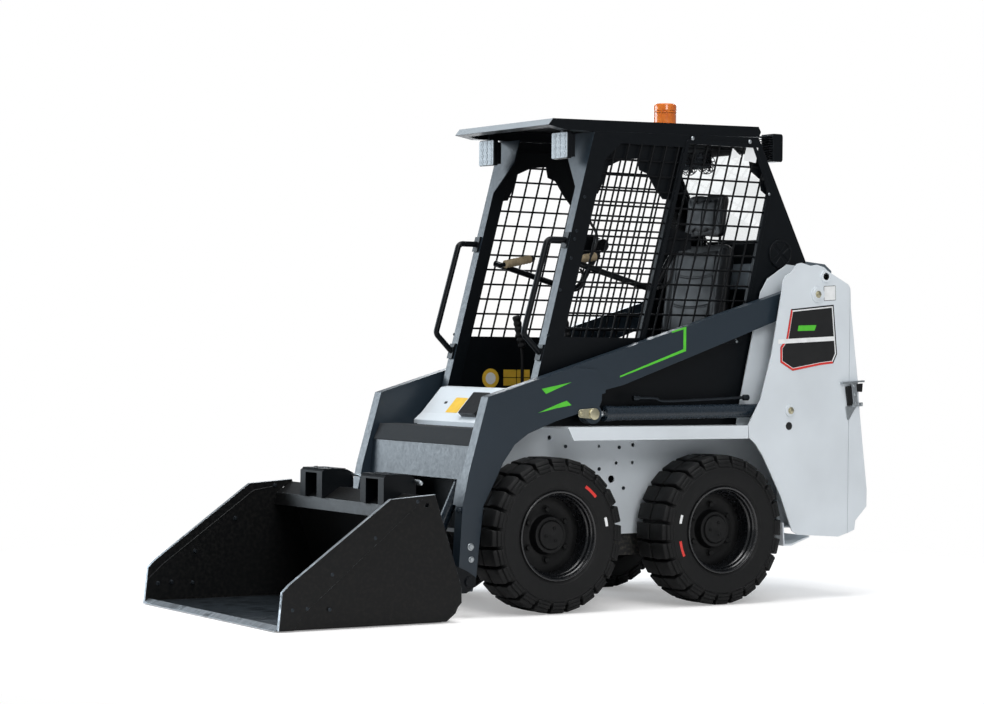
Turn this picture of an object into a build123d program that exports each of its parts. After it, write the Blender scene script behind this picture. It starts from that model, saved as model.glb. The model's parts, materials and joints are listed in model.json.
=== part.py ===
"""Compact electric skid steer loader: hull, cage cab, lift arms, bucket and running gear.

Millimetres. X is across the machine (+X is its left side), the front faces -Y, +Z is up.
Along Y everything is measured from the front axle; on export the model is moved so that
the origin lies on the ground under the middle of the overall length.
"""
from build123d import *
import math
import os

# Overall reach along the machine, from the front axle
LIP_Y = -1233.0
DOOR_SPLIT = 1430.0
DOOR_DEPTH = 101.0
TAIL_Y = DOOR_SPLIT + DOOR_DEPTH

# Widths, from the cab's wall outwards: tower, arm and fender edge
PLATE = 6.0
CAB_HALF = 341.0
TOWER_GAP = 14.0
TOWER_IN = CAB_HALF + TOWER_GAP
ARM_GAP = 14.0
ARM_W = 50.0
ARM_IN = TOWER_IN + PLATE + ARM_GAP
ARM_OUT_GAP = 24.0
FENDER_HALF = ARM_IN + ARM_W + ARM_OUT_GAP + PLATE

# Running gear
WHEELBASE = 777.0
TYRE_R = 295.0
TYRE_W = 200.0
TRACK_HALF = 390.0
LUG_COUNT = 24
LUG_DEPTH = 21.0
LUG_SHARE = 0.775
BEAD_R = 158.0
RIM_FLANGE_R = 171.0
RIM_WALL = 5.0
HUB_R = 69.0
SHAFT_R = 30.0
HOUSING_R = 52.0

# Clearances
RUN = 0.05
SEAT = 0.3
SIDE_GAP = 5.0

# Hull and fenders
HULL_HALF = 262.0
HULL_TOP = 697.0
HULL_FLOOR = 276.0
HULL_FRONT = -185.0
HULL_REAR = DOOR_SPLIT - 10
HULL_WALL = 6.0
HULL_HOLES = [
    (391, 491, 15), (98, 657, 9), (331, 620, 6), (494, 624, 8), (414, 554, 7), (492, 555, 7),
]
CHANNEL_OUTER = 440.0
CHANNEL_OUTLINE = [
    (1106, 312), (1112, 219), (1152, 219), (1246, 250), (1244, 256), (1150, 225), (1118, 225), (1112, 312),
]
FENDER_TOP = 703.0
FENDER_LIP = 51.0
FENDER_FRONT = 54.0
FENDER_REAR = 1000.0
RAIL_BOTTOM = 190.0
RAIL_HALF = 240.0
RAIL_W = 70.0

# Towers that carry the arms
ARM_PIVOT = (1261.0, 1230.0)
LIFT_BASE = (1126.0, 762.0)
UPPER_BOSS = (1301.0, 1303.0)
TOWER_FOOT = 262.0
TOWER_SHOULDER = 1262.0
TOWER_OUTLINE = [
    (917, 706), (921, 655), (952, 630), (988, 585), (1031, 511), (1084, 417), (1143, 280), (1170, 263),
    (DOOR_SPLIT - 48, TOWER_FOOT - 13), (DOOR_SPLIT, TOWER_FOOT), (DOOR_SPLIT, TOWER_SHOULDER),
    (DOOR_SPLIT - 10, TOWER_SHOULDER + 12), (1319, 1322), (1293, 1340), (1258, 1349), (1224, 1344),
    (1179, 1355), (1155, 1350), (1126, 1315), (1097, 1301), (1083, 1278), (1078, 1235), (1029, 983), (976, 805),
]
TOWER_INNER_OUTLINE = [
    (930, FENDER_TOP), (1143, FENDER_TOP), (1143, 290), (DOOR_SPLIT, 290), (DOOR_SPLIT, TOWER_SHOULDER),
    (DOOR_SPLIT - 10, TOWER_SHOULDER + 12), (1293, 1340), (1179, 1350), (1080, 1290), (1045, 1235), (950, 815),
]
TIE_DOWN = (1121.0, 700.0)
TIE_DOWN_R = 16.0

# Rear door
KNUCKLE_R = 8.4
HINGE_PIN_R = 4.5
DOOR_HINGE = (-(FENDER_HALF + 9), DOOR_SPLIT - 4)
DOOR_HINGE_Z = (360.0, 1080.0)
DOOR_OUTLINE = [
    (DOOR_SPLIT + 2, TOWER_SHOULDER - 4), (TAIL_Y - 95, 1180), (TAIL_Y - 74, 1025), (TAIL_Y - 55, 888),
    (TAIL_Y - 41, 749), (TAIL_Y - 21, 595), (TAIL_Y, 440), (TAIL_Y, 369), (TAIL_Y - 58, 312), (TAIL_Y - 63, 275),
    (DOOR_SPLIT + 2, TOWER_FOOT),
]

# Lift arms
ARM_WALL = 6.0
ARM_PIN_R = 25.0
ARM_EYE_R = 52.0
ELBOW_STEP = 6.0
ELBOW_EDGE = [(90, 929), (205, 923), (250, 862), (222, 690)]
ROD_EYE = (191.0, 752.0)
BUCKET_PIN = (-367.0, 133.0)
BUCKET_PIN_R = 20.0
LIFT_RANGE = 70.0

# Lift cylinders
LIFT_BARREL_R = 27.5
LIFT_ROD_R = 14.0
LIFT_PIN_R = 17.5
LIFT_EYE_R = 26.0
LIFT_BARREL_FRONT = 64.0
LIFT_ROD_LENGTH = 700.0

# Tilt cylinders
TILT_X = 250.0
TILT_BASE = (-225.0, 645.0)
TILT_CRANK = 110.0
TILT_CRANK_ANGLE = 32.0
TILT_BARREL_R = 22.0
TILT_ROD_R = 11.0
TILT_PIN_R = 12.0
TILT_EYE_R = 20.0
TILT_EYE_W = 44.0
TILT_BARREL_FRONT = 85.0
TILT_ROD_LENGTH = 330.0
TILT_RETRACT = 40.0
LIFT_RETRACT = 4.0
TILT_DUMP = 110.0
TILT_BACK = 25.0
EAR_T = 8.0

# Bucket and its carrier
BUCKET_HALF = 563.0
BUCKET_SHEET = 8.0
CHEEK_T = 10.0
CUTTER_T = 6.0
EDGE_T = 16.0
BUCKET_LIFT = 5.0
BUCKET_TOP = 460.0
LIP_FOLD = (-660.0, 418.0)
LIP_DROP = (-667.0, 372.0)
CARRIER_HALF = ARM_IN + ARM_W + 15.0
CARRIER_T = 10.0
CHEEK_OUTLINE = [
    (-1223, BUCKET_LIFT), (-1209, 140), (-1182, 166), (-778, 455), (-591, 468), (-520, 263), (-474, 126),
    (-473, 72), (-530, BUCKET_LIFT + 10), (-560, BUCKET_LIFT),
]
CUTTER_OUTLINE = [
    (-1223, BUCKET_LIFT), (-1209, 140), (-1182, 166), (-778, 455), (-640, 464), (-662, 436), (-1121, 66),
    (-1165, BUCKET_LIFT),
]
CHEEK_HOLE = (-625.0, 431.0)
HOOK_X = (149.0, 325.0)
HOOK_LEG = 42.0
HOOK_TOP = 526.0

# Cab
CAB_SKIN = 12.0
CAB_SILL = 703.0
PILLAR_TOP = 1840.0
PILLAR_SLOPE = 0.2637
PILLAR_FOOT = (-60.0, 703.0)
PILLAR_W = 76.0
PILLAR_DEPTH = 46.0
WINDOW_SILL = 1045.0
POST_W = 26.0
POST_IN = CAB_HALF - 30.0
ROOF_FRONT = 47.0
ROOF_REAR = 1040.0
ROOF_LOW = 1880.0
ROOF_SHEET = 8.0
ROOF_HIGH = 1901.0
ROOF_RISE = (ROOF_HIGH - ROOF_LOW) / (ROOF_REAR - ROOF_FRONT)
CAB_REAR = 1290.0
SLOPE_TOP = 1858.0
SLOPE_LOW = 1366.0
REAR_LENGTH = math.hypot(CAB_REAR - ROOF_REAR, SLOPE_TOP - SLOPE_LOW)
WIRE = 5.0
WIRE_PITCH = 60.0
FRAME_W = 16.0
FRAME_T = 5.0
GUSSET_LOW = 1625.0
GUSSET_REACH = 105.0
CAP_CENTRE = (1155.0, 1393.0)
CAP_R = 57.0

# Lamps
WORK_LAMP_Z = (1733.0, 1836.0)
REAR_LAMP_Z = (1765.0, 1880.0)

# Seat and restraint
WALL_Y = 1064.0
DECK_Z = 880.0
CUSHION_Z = (930.3, 1010.0)
BACK_LEAN = 50.0 / 430.0
BACK_REAR = 1010.0
LAP_PIVOT = (700.0, 1430.0)
LAP_BEND = (580.0, 1235.0)
LAP_X = POST_IN - 41
LAP_TUBE_R = 12.0
LAP_PIN_R = 10.0
LAP_TIP = (178.0, 1341.0)
GRIP_INSET = 38.0
GRIP_CORE_R = 9.0
GRIP_FRONT = (176.0, 1331.6)
GRIP_REAR = (342.0, 1366.0)

ORIGIN_SHIFT = Location((0, -(LIP_Y + TAIL_Y) / 2, 0))


def block(x, y, z):
    """A box from three (low, high) pairs."""
    size = [high - low for low, high in (x, y, z)]
    middle = [(high + low) / 2 for low, high in (x, y, z)]
    return Pos(*middle) * Box(*size)


def side_plate(points, x_low, x_high, radius=0):
    """An outline in the (y, z) plane, carried across from x_low to x_high."""
    face = make_face(Polyline(*points, close=True))
    if radius:
        face = fillet(face.vertices(), radius)
    return extrude(Plane.YZ.offset(x_low) * face, amount=x_high - x_low, dir=(1, 0, 0))


def cross_rod(centre, x_low, x_high, radius):
    """A round bar across the machine at centre (y, z)."""
    return Pos((x_low + x_high) / 2, *centre) * Rot(0, 90, 0) * Cylinder(radius, x_high - x_low)


def bar_between(start, end, radius):
    """A round bar from one point to another."""
    a, b = Vector(*start), Vector(*end)
    plane = Plane(origin=a, z_dir=(b - a).normalized())
    return extrude(plane * Circle(radius), amount=(b - a).length)


def bent_tube(points, bend, radius):
    """A round bar bent along straight runs, each corner an arc of the bend radius."""
    path = FilletPolyline(*points, radius=bend)
    start = Plane(origin=path @ 0, z_dir=path % 0)
    return sweep(start * Circle(radius), path=path)


def both_sides(solid):
    """The solid with its mirror image on the other side of the machine."""
    return Compound([solid, mirror(solid, about=Plane.YZ)])


def pillar_y(z):
    """Where the cab's leaning front edge is at height z."""
    return PILLAR_FOOT[0] + (z - PILLAR_FOOT[1]) * PILLAR_SLOPE


def wedge(profile, angle):
    """One flat of a wheel: an (x, radius) section carried straight across a sector about X.

    The radii hold at the sector's two end planes, so flats of unequal angle meet edge to edge.
    """
    half = math.radians(angle / 2)
    section = [(x, radius * math.cos(half)) for x, radius in profile]
    reach = TYRE_R * math.tan(half) + 5
    flat = extrude(Plane.XZ.offset(-reach) * make_face(Polyline(*section, close=True)), amount=2 * reach)
    far = 2 * TYRE_R
    sector = side_plate([(0, 0), (-far * math.tan(half), far), (far * math.tan(half), far)], -TYRE_W, TYRE_W)
    return Rot(angle / 2, 0, 0) * (flat & sector)


def tyre():
    """Tyre in flats round the axle: broad tread blocks with narrow grooves between them."""
    base = TYRE_R - LUG_DEPTH
    half = TYRE_W / 2
    pitch = 360 / LUG_COUNT
    block_angle = pitch * LUG_SHARE
    bore = BEAD_R / math.cos(math.radians(block_angle / 2))
    side = [(half, 202), (80, RIM_FLANGE_R + 2), (80, bore)]
    right = [(half - 14, base)] + side
    groove = right + [(-x, r) for x, r in reversed(right)]
    right = [(half - 12, TYRE_R), (half, TYRE_R - 14)] + side
    block_section = right + [(-x, r) for x, r in reversed(right)]
    block_piece = wedge(block_section, block_angle)
    groove_piece = Rot(block_angle, 0, 0) * wedge(groove, pitch - block_angle)
    pieces = []
    for i in range(LUG_COUNT):
        pieces += [Rot(pitch * i, 0, 0) * block_piece, Rot(pitch * i, 0, 0) * groove_piece]
    return pieces[0].fuse(*pieces[1:])


def rim():
    """Deep-dished steel wheel with its hub drum and the shaft that runs in the housing."""
    seat = BEAD_R - SEAT
    inner = seat - RIM_WALL
    profile = [
        (-86, RIM_FLANGE_R), (-80.3, RIM_FLANGE_R), (-80.3, seat), (80.3, seat), (80.3, RIM_FLANGE_R),
        (86, RIM_FLANGE_R), (86, inner), (2, inner), (2, HUB_R), (36, HUB_R), (46, HUB_R - 14), (46, 0),
        (-128, 0), (-128, SHAFT_R), (-8, SHAFT_R), (-8, inner), (-86, inner),
    ]
    return revolve(Plane.XZ * make_face(Polyline(*profile, close=True)), Axis.X, 360)


def wheel_places():
    """Name, side and axle position of each wheel."""
    return [("fl", 1, 0.0), ("fr", -1, 0.0), ("rl", 1, WHEELBASE), ("rr", -1, WHEELBASE)]


def wheels():
    parts = {}
    tyre_form, rim_form = tyre(), rim()
    for name, side, axle_y in wheel_places():
        turn = Rot(0, 0, 0) if side > 0 else Rot(0, 0, 180)
        place = Pos(side * TRACK_HALF, axle_y, TYRE_R) * turn
        parts["tyre_" + name] = place * tyre_form
        parts["rim_" + name] = place * rim_form
    return parts


def axle_housings():
    """Flanged tubes that carry the wheel shafts out of the hull."""
    end = TRACK_HALF - 30 - 6
    tubes = []
    for axle_y in (0.0, WHEELBASE):
        centre = (axle_y, TYRE_R)
        tube = cross_rod(centre, HULL_HALF, end, HOUSING_R) + cross_rod(centre, HULL_HALF, HULL_HALF + 10, 85)
        tube -= cross_rod(centre, HULL_HALF - 5, end + 1, SHAFT_R + RUN)
        tubes += [tube, mirror(tube, about=Plane.YZ)]
    return Compound(tubes)


def hull():
    """Open-topped welded tub between the wheels, with the holes in its sides and two channel stubs behind."""
    outline = [(HULL_FRONT, 340), (HULL_FRONT + 60, HULL_FLOOR), (HULL_REAR, HULL_FLOOR), (HULL_REAR, HULL_TOP),
               (HULL_FRONT, HULL_TOP)]
    outer = side_plate(outline, -HULL_HALF, HULL_HALF)
    w = HULL_WALL
    inside = [(HULL_FRONT + w, 343), (HULL_FRONT + 62, HULL_FLOOR + w), (HULL_REAR - w, HULL_FLOOR + w),
              (HULL_REAR - w, HULL_TOP + 10), (HULL_FRONT + w, HULL_TOP + 10)]
    tub = outer - side_plate(inside, -HULL_HALF + w, HULL_HALF - w)
    for axle_y in (0.0, WHEELBASE):
        tub -= cross_rod((axle_y, TYRE_R), -HULL_HALF - 5, HULL_HALF + 5, SHAFT_R + 2)
    for y, z, radius in HULL_HOLES:
        tub -= cross_rod((y, z), -HULL_HALF - 5, HULL_HALF + 5, radius)
    stub = side_plate(CHANNEL_OUTLINE, HULL_HALF, CHANNEL_OUTER)
    return tub + stub + mirror(stub, about=Plane.YZ)


def fenders():
    """Ledges over the wheels, folded down at the outer edge."""
    split = 916.0
    top = block((HULL_HALF - 20, FENDER_HALF), (FENDER_FRONT, split), (HULL_TOP, FENDER_TOP))
    top += block((HULL_HALF - 20, FENDER_HALF - PLATE - SEAT), (split, FENDER_REAR), (HULL_TOP, FENDER_TOP))
    lip_low = FENDER_TOP - FENDER_LIP
    fold = [(FENDER_FRONT, FENDER_TOP), (FENDER_FRONT + 27, lip_low), (split, lip_low), (split, FENDER_TOP)]
    lip = side_plate(fold, FENDER_HALF - 5, FENDER_HALF)
    return both_sides(top + lip)


def rails():
    """Box rails and cross members under the hull."""
    top = HULL_FLOOR
    parts = []
    for side in (-1, 1):
        x = sorted((side * (RAIL_HALF - RAIL_W), side * RAIL_HALF))
        parts.append(side_plate([(-60, top), (0, RAIL_BOTTOM + 20), (60, RAIL_BOTTOM), (1100, RAIL_BOTTOM),
                                 (1180, RAIL_BOTTOM + 25), (1240, top)], *x))
    for y in (60.0, 560.0, 1040.0):
        parts.append(block((-RAIL_HALF + RAIL_W, RAIL_HALF - RAIL_W), (y, y + 60), (RAIL_BOTTOM + 10, top)))
    solid = parts[0]
    for piece in parts[1:]:
        solid += piece
    return solid


def tower():
    """Left tower: outer and inner plates with a rear web, the arm's pin and the lift cylinder's pin."""
    outer = side_plate(TOWER_OUTLINE, FENDER_HALF - PLATE, FENDER_HALF)
    inner = side_plate(TOWER_INNER_OUTLINE, TOWER_IN, TOWER_IN + PLATE)
    solid = outer + inner
    web = (TOWER_IN, FENDER_HALF - PLATE)
    solid += block(web, (DOOR_SPLIT - PLATE, DOOR_SPLIT), (TOWER_FOOT, TOWER_SHOULDER))
    solid += block((HULL_HALF, FENDER_HALF - PLATE), (1150, DOOR_SPLIT), (290, 296))
    solid += block((HULL_HALF, TOWER_IN), (1150, DOOR_SPLIT - PLATE), (684, HULL_TOP - 7))
    for centre, pin_r, disc_r in ((ARM_PIVOT, ARM_PIN_R, 33), (LIFT_BASE, LIFT_PIN_R, 25)):
        solid += cross_rod(centre, TOWER_IN - 8, FENDER_HALF + 6, pin_r)
        solid += cross_rod(centre, FENDER_HALF, FENDER_HALF + 4, disc_r)
    solid += cross_rod(UPPER_BOSS, FENDER_HALF - PLATE, FENDER_HALF + 5, 24)
    solid -= cross_rod(TIE_DOWN, FENDER_HALF - PLATE - 1, FENDER_HALF + 1, TIE_DOWN_R)
    return solid


def tower_right():
    """Right tower with the two hinge knuckles of the rear door."""
    solid = mirror(tower(), about=Plane.YZ)
    for z in DOOR_HINGE_Z:
        solid += Pos(*DOOR_HINGE, z + 14) * Cylinder(KNUCKLE_R, 28)
        solid += Pos(*DOOR_HINGE, z + 30) * Cylinder(HINGE_PIN_R, 60)
        solid += block((DOOR_HINGE[0], -FENDER_HALF), (DOOR_SPLIT - 40, DOOR_HINGE[1]), (z, z + 28))
    return solid


def rear_door():
    """Full-width tail door, a folded tray open to the front, with its hinge knuckles."""
    outer = side_plate(DOOR_OUTLINE, -FENDER_HALF, FENDER_HALF)
    hollow = [(y - 12 if y > DOOR_SPLIT + 10 else DOOR_SPLIT - 10, z + (8 if z < 400 else -8))
              for y, z in DOOR_OUTLINE]
    tray = outer - side_plate(hollow, -FENDER_HALF + 8, FENDER_HALF - 8)
    for z in DOOR_HINGE_Z:
        tray += block((DOOR_HINGE[0], -FENDER_HALF + 4), (DOOR_HINGE[1], DOOR_SPLIT + 30), (z + 29, z + 58))
        tray += Pos(*DOOR_HINGE, z + 43.5) * Cylinder(KNUCKLE_R, 29)
        tray -= Pos(*DOOR_HINGE, z + 30) * Cylinder(HINGE_PIN_R + RUN, 80)
        tray -= block((-FENDER_HALF, -FENDER_HALF + 8), (DOOR_SPLIT - 30, DOOR_SPLIT + 1.9), (z, z + 80))
    return tray


def door_latch():
    """Over-centre latch on the door's left edge."""
    x = (FENDER_HALF + SEAT, FENDER_HALF + 16)
    split = DOOR_SPLIT
    body = block(x, (split + 10, split + 70), (775, 868))
    body += block((FENDER_HALF + SEAT, FENDER_HALF + 10), (split - 26, split + 10), (800, 845))
    return body + cross_rod((split - 10, 822), FENDER_HALF + 10, FENDER_HALF + 22, 12)


def hood():
    """Top cover over the battery bay, behind the cab."""
    half = CAB_HALF - 1
    front = CAB_REAR + SEAT
    rear = DOOR_SPLIT - 3
    t = PLATE
    shell = [(front, 1200), (front, 1366), (rear - 35, 1357), (rear, 1330), (rear, 1200)]
    room = [(front + t, 1190), (front + t, 1360), (rear - 38, 1351), (rear - t, 1327), (rear - t, 1190)]
    return side_plate(shell, -half, half) - side_plate(room, -half + t, half - t)


def battery():
    """Traction battery and drive motor, one plain block."""
    return block((-250, 250), (1085, HULL_REAR - 20), (HULL_FLOOR + HULL_WALL, 1180))


def arm_outline():
    """The arm's L shape: leg, elbow and the tapered boom up to the pivot."""
    return [
        (-285, 817), (1215, 1265), (1280, 1262), (1290, 1190), (1072, 1117), (241, 831), (219, 781), (17, 725),
        (-106, 679), (-165, 639), (-216, 572), (-244, 517), (-301, 413), (-317, 271), (-329, 150),
        (-345, 96), (-390, 96), (-407, 150), (-398, 307), (-392, 411), (-366, 535),
    ]


def arm():
    """Left lift arm: the boom set in from the elbow plate, a slot for the rod's eye and a bore at each end."""
    low, high = ARM_IN, ARM_IN + ARM_W
    solid = side_plate(arm_outline(), low, high)
    beyond = ELBOW_EDGE + [(1400, 690), (1400, 1400), (90, 1000)]
    solid -= side_plate(beyond, high - ELBOW_STEP, high + 10, 24)
    solid += cross_rod(ARM_PIVOT, TOWER_IN + PLATE + 2, FENDER_HALF - PLATE - 2, ARM_EYE_R)
    solid += cross_rod(ROD_EYE, low, high, 38)
    slot = [(120, 640), (120, 800), (150, 822), (330, 862), (330, 640)]
    solid -= side_plate(slot, low + ARM_WALL, high - ARM_WALL)
    solid -= side_plate([(229, 640), (229, 828), (330, 850), (330, 640)], low - 1, high + 1)
    solid -= cross_rod(ARM_PIVOT, low - 50, high + 50, ARM_PIN_R + RUN)
    solid -= cross_rod(BUCKET_PIN, low - 5, high + 5, BUCKET_PIN_R + RUN)
    for x in (low - 4, high):
        solid += cross_rod(ROD_EYE, x, x + 4, 22)
    return solid


def arm_crossmember():
    """Bent plate that joins the legs, arched below, with ears for the tilt cylinders."""
    t = 8.0
    front = [(-352, 410), (-335, 505), (-318, 632), (-290, 690), (-205, 690),
             (-205, 690 - t), (-285, 690 - t), (-310, 632), (-327, 505), (-344, 410)]
    plate = side_plate(front, -ARM_IN, ARM_IN)
    arch_half = ARM_IN - 85
    plate -= block((-arch_half, arch_half), (-500, 0), (300, 505))
    ear = [(-285, 690 - t + 1), (-207, 690 - t + 1), (-207, 640), (-212, 622), (-238, 622), (-296, 660)]
    for x in tilt_ear_places():
        plate += side_plate(ear, x, x + EAR_T)
    for side in (-1, 1):
        plate += cross_rod(TILT_BASE, side * TILT_X - 32, side * TILT_X + 32, TILT_PIN_R)
    return plate


def step_pad():
    """Ribbed tread pad on the cross member's sloping top."""
    section = [(-323, 634), (-294, 694), (-288, 696), (-206, 696), (-206, 690.3), (-290.35, 690.3),
               (-318.5, 632.3)]
    return side_plate(section, -ARM_IN + 8, ARM_IN - 8)


def tilt_ear_places():
    """Lower X of each of the four ear plates that flank the tilt cylinders' eyes."""
    half = TILT_EYE_W / 2 + 2
    places = []
    for side in (-1, 1):
        places += [side * TILT_X - half - EAR_T, side * TILT_X + half]
    return places


def tilt_eye():
    """The tilt cylinder's rod pin on the bucket carrier, at rest."""
    a = math.radians(TILT_CRANK_ANGLE)
    return (BUCKET_PIN[0] - TILT_CRANK * math.sin(a), BUCKET_PIN[1] + TILT_CRANK * math.cos(a))


def cylinder_pair(base, eye, x, barrel_r, rod_r, pin_r, eye_r, eye_w, barrel_front, rod_length, retract):
    """Barrel and rod of one hydraulic cylinder between two (y, z) pins, at rest.

    The bore runs deeper than the rod by the stroke that is still left to retract.
    """
    along = Vector(0, eye[0] - base[0], eye[1] - base[1])
    length = along.length
    unit = along.normalized()
    start = Vector(x, *base)
    end = Vector(x, *eye)
    barrel = bar_between(start + unit * (eye_r - 4), end - unit * barrel_front, barrel_r)
    barrel += cross_rod(base, x - eye_w / 2, x + eye_w / 2, eye_r)
    gland = bar_between(end - unit * (barrel_front + 40), end - unit * barrel_front, barrel_r + 2)
    barrel += gland
    barrel -= bar_between(end - unit * (rod_length + retract + 4), end, rod_r + RUN)
    barrel -= cross_rod(base, x - eye_w, x + eye_w, pin_r + RUN)
    rod = bar_between(end - unit * rod_length, end, rod_r)
    rod += cross_rod(eye, x - eye_w / 2, x + eye_w / 2, eye_r)
    return barrel, rod


def lift_cylinders():
    x = ARM_IN + ARM_W / 2
    width = ARM_W - 2 * ARM_WALL - 3
    barrel, rod = cylinder_pair(LIFT_BASE, ROD_EYE, x, LIFT_BARREL_R, LIFT_ROD_R, LIFT_PIN_R,
                                LIFT_EYE_R, width, LIFT_BARREL_FRONT, LIFT_ROD_LENGTH, LIFT_RETRACT)
    return both_sides(barrel), both_sides(rod)


def tilt_cylinders():
    barrel, rod = cylinder_pair(TILT_BASE, tilt_eye(), TILT_X, TILT_BARREL_R, TILT_ROD_R, TILT_PIN_R,
                                TILT_EYE_R, TILT_EYE_W, TILT_BARREL_FRONT, TILT_ROD_LENGTH, TILT_RETRACT)
    return both_sides(barrel), both_sides(rod)


def bucket_carrier():
    """Quick-attach frame: back plate, hinge ears beside each leg and ears for the tilt rods."""
    low_z, high_z = 120, 425
    front_low, front_high = bucket_back_y(low_z) + SEAT, bucket_back_y(high_z) + SEAT
    solid = side_plate([(front_low, low_z), (front_high, high_z), (front_high + CARRIER_T, high_z),
                        (front_low + CARRIER_T, low_z)], -CARRIER_HALF, CARRIER_HALF)
    reach = [(front_low + 2, low_z), (-440, 92), (-380, 92), (-340, 118), (-340, 150), (-380, 175),
             (bucket_back_y(230) + 3, 230)]
    low, high = ARM_IN, ARM_IN + ARM_W
    for side in (-1, 1):
        for x0, x1 in ((low - SIDE_GAP - 14, low - SIDE_GAP), (high + SIDE_GAP, high + SIDE_GAP + 10)):
            xs = sorted((side * x0, side * x1))
            solid += side_plate(reach, *xs)
        xs = sorted((side * (low - 25), side * (high + 22)))
        solid += cross_rod(BUCKET_PIN, *xs, BUCKET_PIN_R)
    eye_y, eye_z = tilt_eye()
    for x in tilt_ear_places():
        solid += side_plate([(bucket_back_y(165) + 3, 165), (eye_y, eye_z - 24), (eye_y + 22, eye_z),
                             (eye_y, eye_z + 24), (bucket_back_y(290) + 3, 290)], x, x + EAR_T)
    return solid


def carrier_hooks():
    """Two bridges on top of the carrier that reach over the bucket's folded lip on a pair of legs."""
    low_z = 425 + SEAT
    back_z = BUCKET_TOP + 2 * SEAT
    fold_y, fold_z = LIP_FOLD
    front = fold_y - 12
    profile = [
        (bucket_back_y(low_z) + 0.6, low_z), (bucket_back_y(back_z) + 0.6, back_z), (fold_y, fold_z + 2 * SEAT),
        (front, fold_z + 2 * SEAT), (front, HOOK_TOP - 8), (front + 10, HOOK_TOP), (-562, HOOK_TOP),
        (-534, HOOK_TOP - 14), (-534, low_z),
    ]
    low, high = HOOK_X
    hook = side_plate(profile, low, high)
    hook -= block((low + HOOK_LEG, high - HOOK_LEG), (front - 5, -602), (fold_z - 10, HOOK_TOP - 14))
    return both_sides(hook)


def bucket_back_y(z):
    """Outer face of the bucket's leaning back at height z."""
    return -476 - 0.342 * (z - 118)


def bucket_inner_half():
    """Half the width between the cheeks."""
    return BUCKET_HALF - CUTTER_T - CHEEK_T


def bucket_shell():
    """Floor and back of the bucket, one bent sheet with a rolled heel and a folded lip along the top."""
    t = BUCKET_SHEET
    z = BUCKET_LIFT
    top = BUCKET_TOP
    half = bucket_inner_half()
    outer = [(LIP_Y + 40, z), (-530, z), (-492, 34), (-475, 72), (bucket_back_y(118), 118),
             (bucket_back_y(top), top), LIP_FOLD, LIP_DROP]
    inner = [(LIP_DROP[0] + t, LIP_DROP[1]), (LIP_FOLD[0] + t, LIP_FOLD[1] - 5),
             (bucket_back_y(top) - t, top - 14), (bucket_back_y(120) - t, 120), (-475 - t, 74), (-498, 40),
             (-534, z + t), (LIP_Y + 40, z + t)]
    return side_plate(outer + inner, -half, half)


def bucket_cheeks():
    """Side plates of the bucket, each with a side cutter bolted along its front edge."""
    outer = BUCKET_HALF - CUTTER_T
    cheek = side_plate(CHEEK_OUTLINE, outer - CHEEK_T, outer)
    cheek += side_plate(CUTTER_OUTLINE, outer, BUCKET_HALF)
    return both_sides(cheek - cross_rod(CHEEK_HOLE, outer - CHEEK_T - 1, outer + 1, 9))


def cutting_edge():
    """Bevelled steel edge along the lip."""
    z = BUCKET_LIFT
    half = bucket_inner_half()
    section = [(LIP_Y, z), (LIP_Y + 40, z), (LIP_Y + 40, z + BUCKET_SHEET), (LIP_Y + 28, z + EDGE_T)]
    return side_plate(section, -half, half)


def cab_outline():
    """Outer edge of the cab's side seen from the side."""
    return [PILLAR_FOOT, (pillar_y(PILLAR_TOP), PILLAR_TOP), (ROOF_REAR, SLOPE_TOP), (CAB_REAR, SLOPE_LOW),
            (CAB_REAR, CAB_SILL)]


def post_y(z):
    """Middle of the leaning post between the two side windows at height z."""
    return 474 + (z - 1043) * 0.266


def front_window():
    return [(pillar_y(WINDOW_SILL) + PILLAR_W, WINDOW_SILL), (post_y(WINDOW_SILL) - POST_W / 2, WINDOW_SILL),
            (post_y(1800) - POST_W / 2, 1800), (pillar_y(1800) + PILLAR_W + 60, 1800),
            (pillar_y(1730) + PILLAR_W, 1730)]


def rear_window():
    return [(post_y(WINDOW_SILL) + POST_W / 2, WINDOW_SILL), (945, WINDOW_SILL), (1090, 1640), (1010, 1815),
            (post_y(1815) + POST_W / 2, 1815)]


def pillar_gussets():
    """Plate beside each pillar that widens its front face towards the roof."""
    lean = math.hypot(1, PILLAR_SLOPE)
    face = Plane(origin=(0, *PILLAR_FOOT), x_dir=(1, 0, 0), z_dir=(0, -1 / lean, PILLAR_SLOPE / lean))
    low = (GUSSET_LOW - PILLAR_FOOT[1]) * lean
    high = (PILLAR_TOP - PILLAR_FOOT[1]) * lean
    root = CAB_HALF - PILLAR_DEPTH - SEAT
    inner = root - GUSSET_REACH
    sheet = [(root, low), (inner, low + 1.2 * GUSSET_REACH), (inner, high), (root, high)]
    return both_sides(extrude(face * make_face(Polyline(*sheet, close=True)), amount=-PLATE))


def window_frame(window):
    """Flat frame bolted on the outside round a window."""
    hole = make_face(Polyline(*window, close=True))
    face = offset(hole, amount=FRAME_W) - hole
    return extrude(Plane.YZ.offset(CAB_HALF) * face, amount=FRAME_T, dir=(1, 0, 0))


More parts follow.
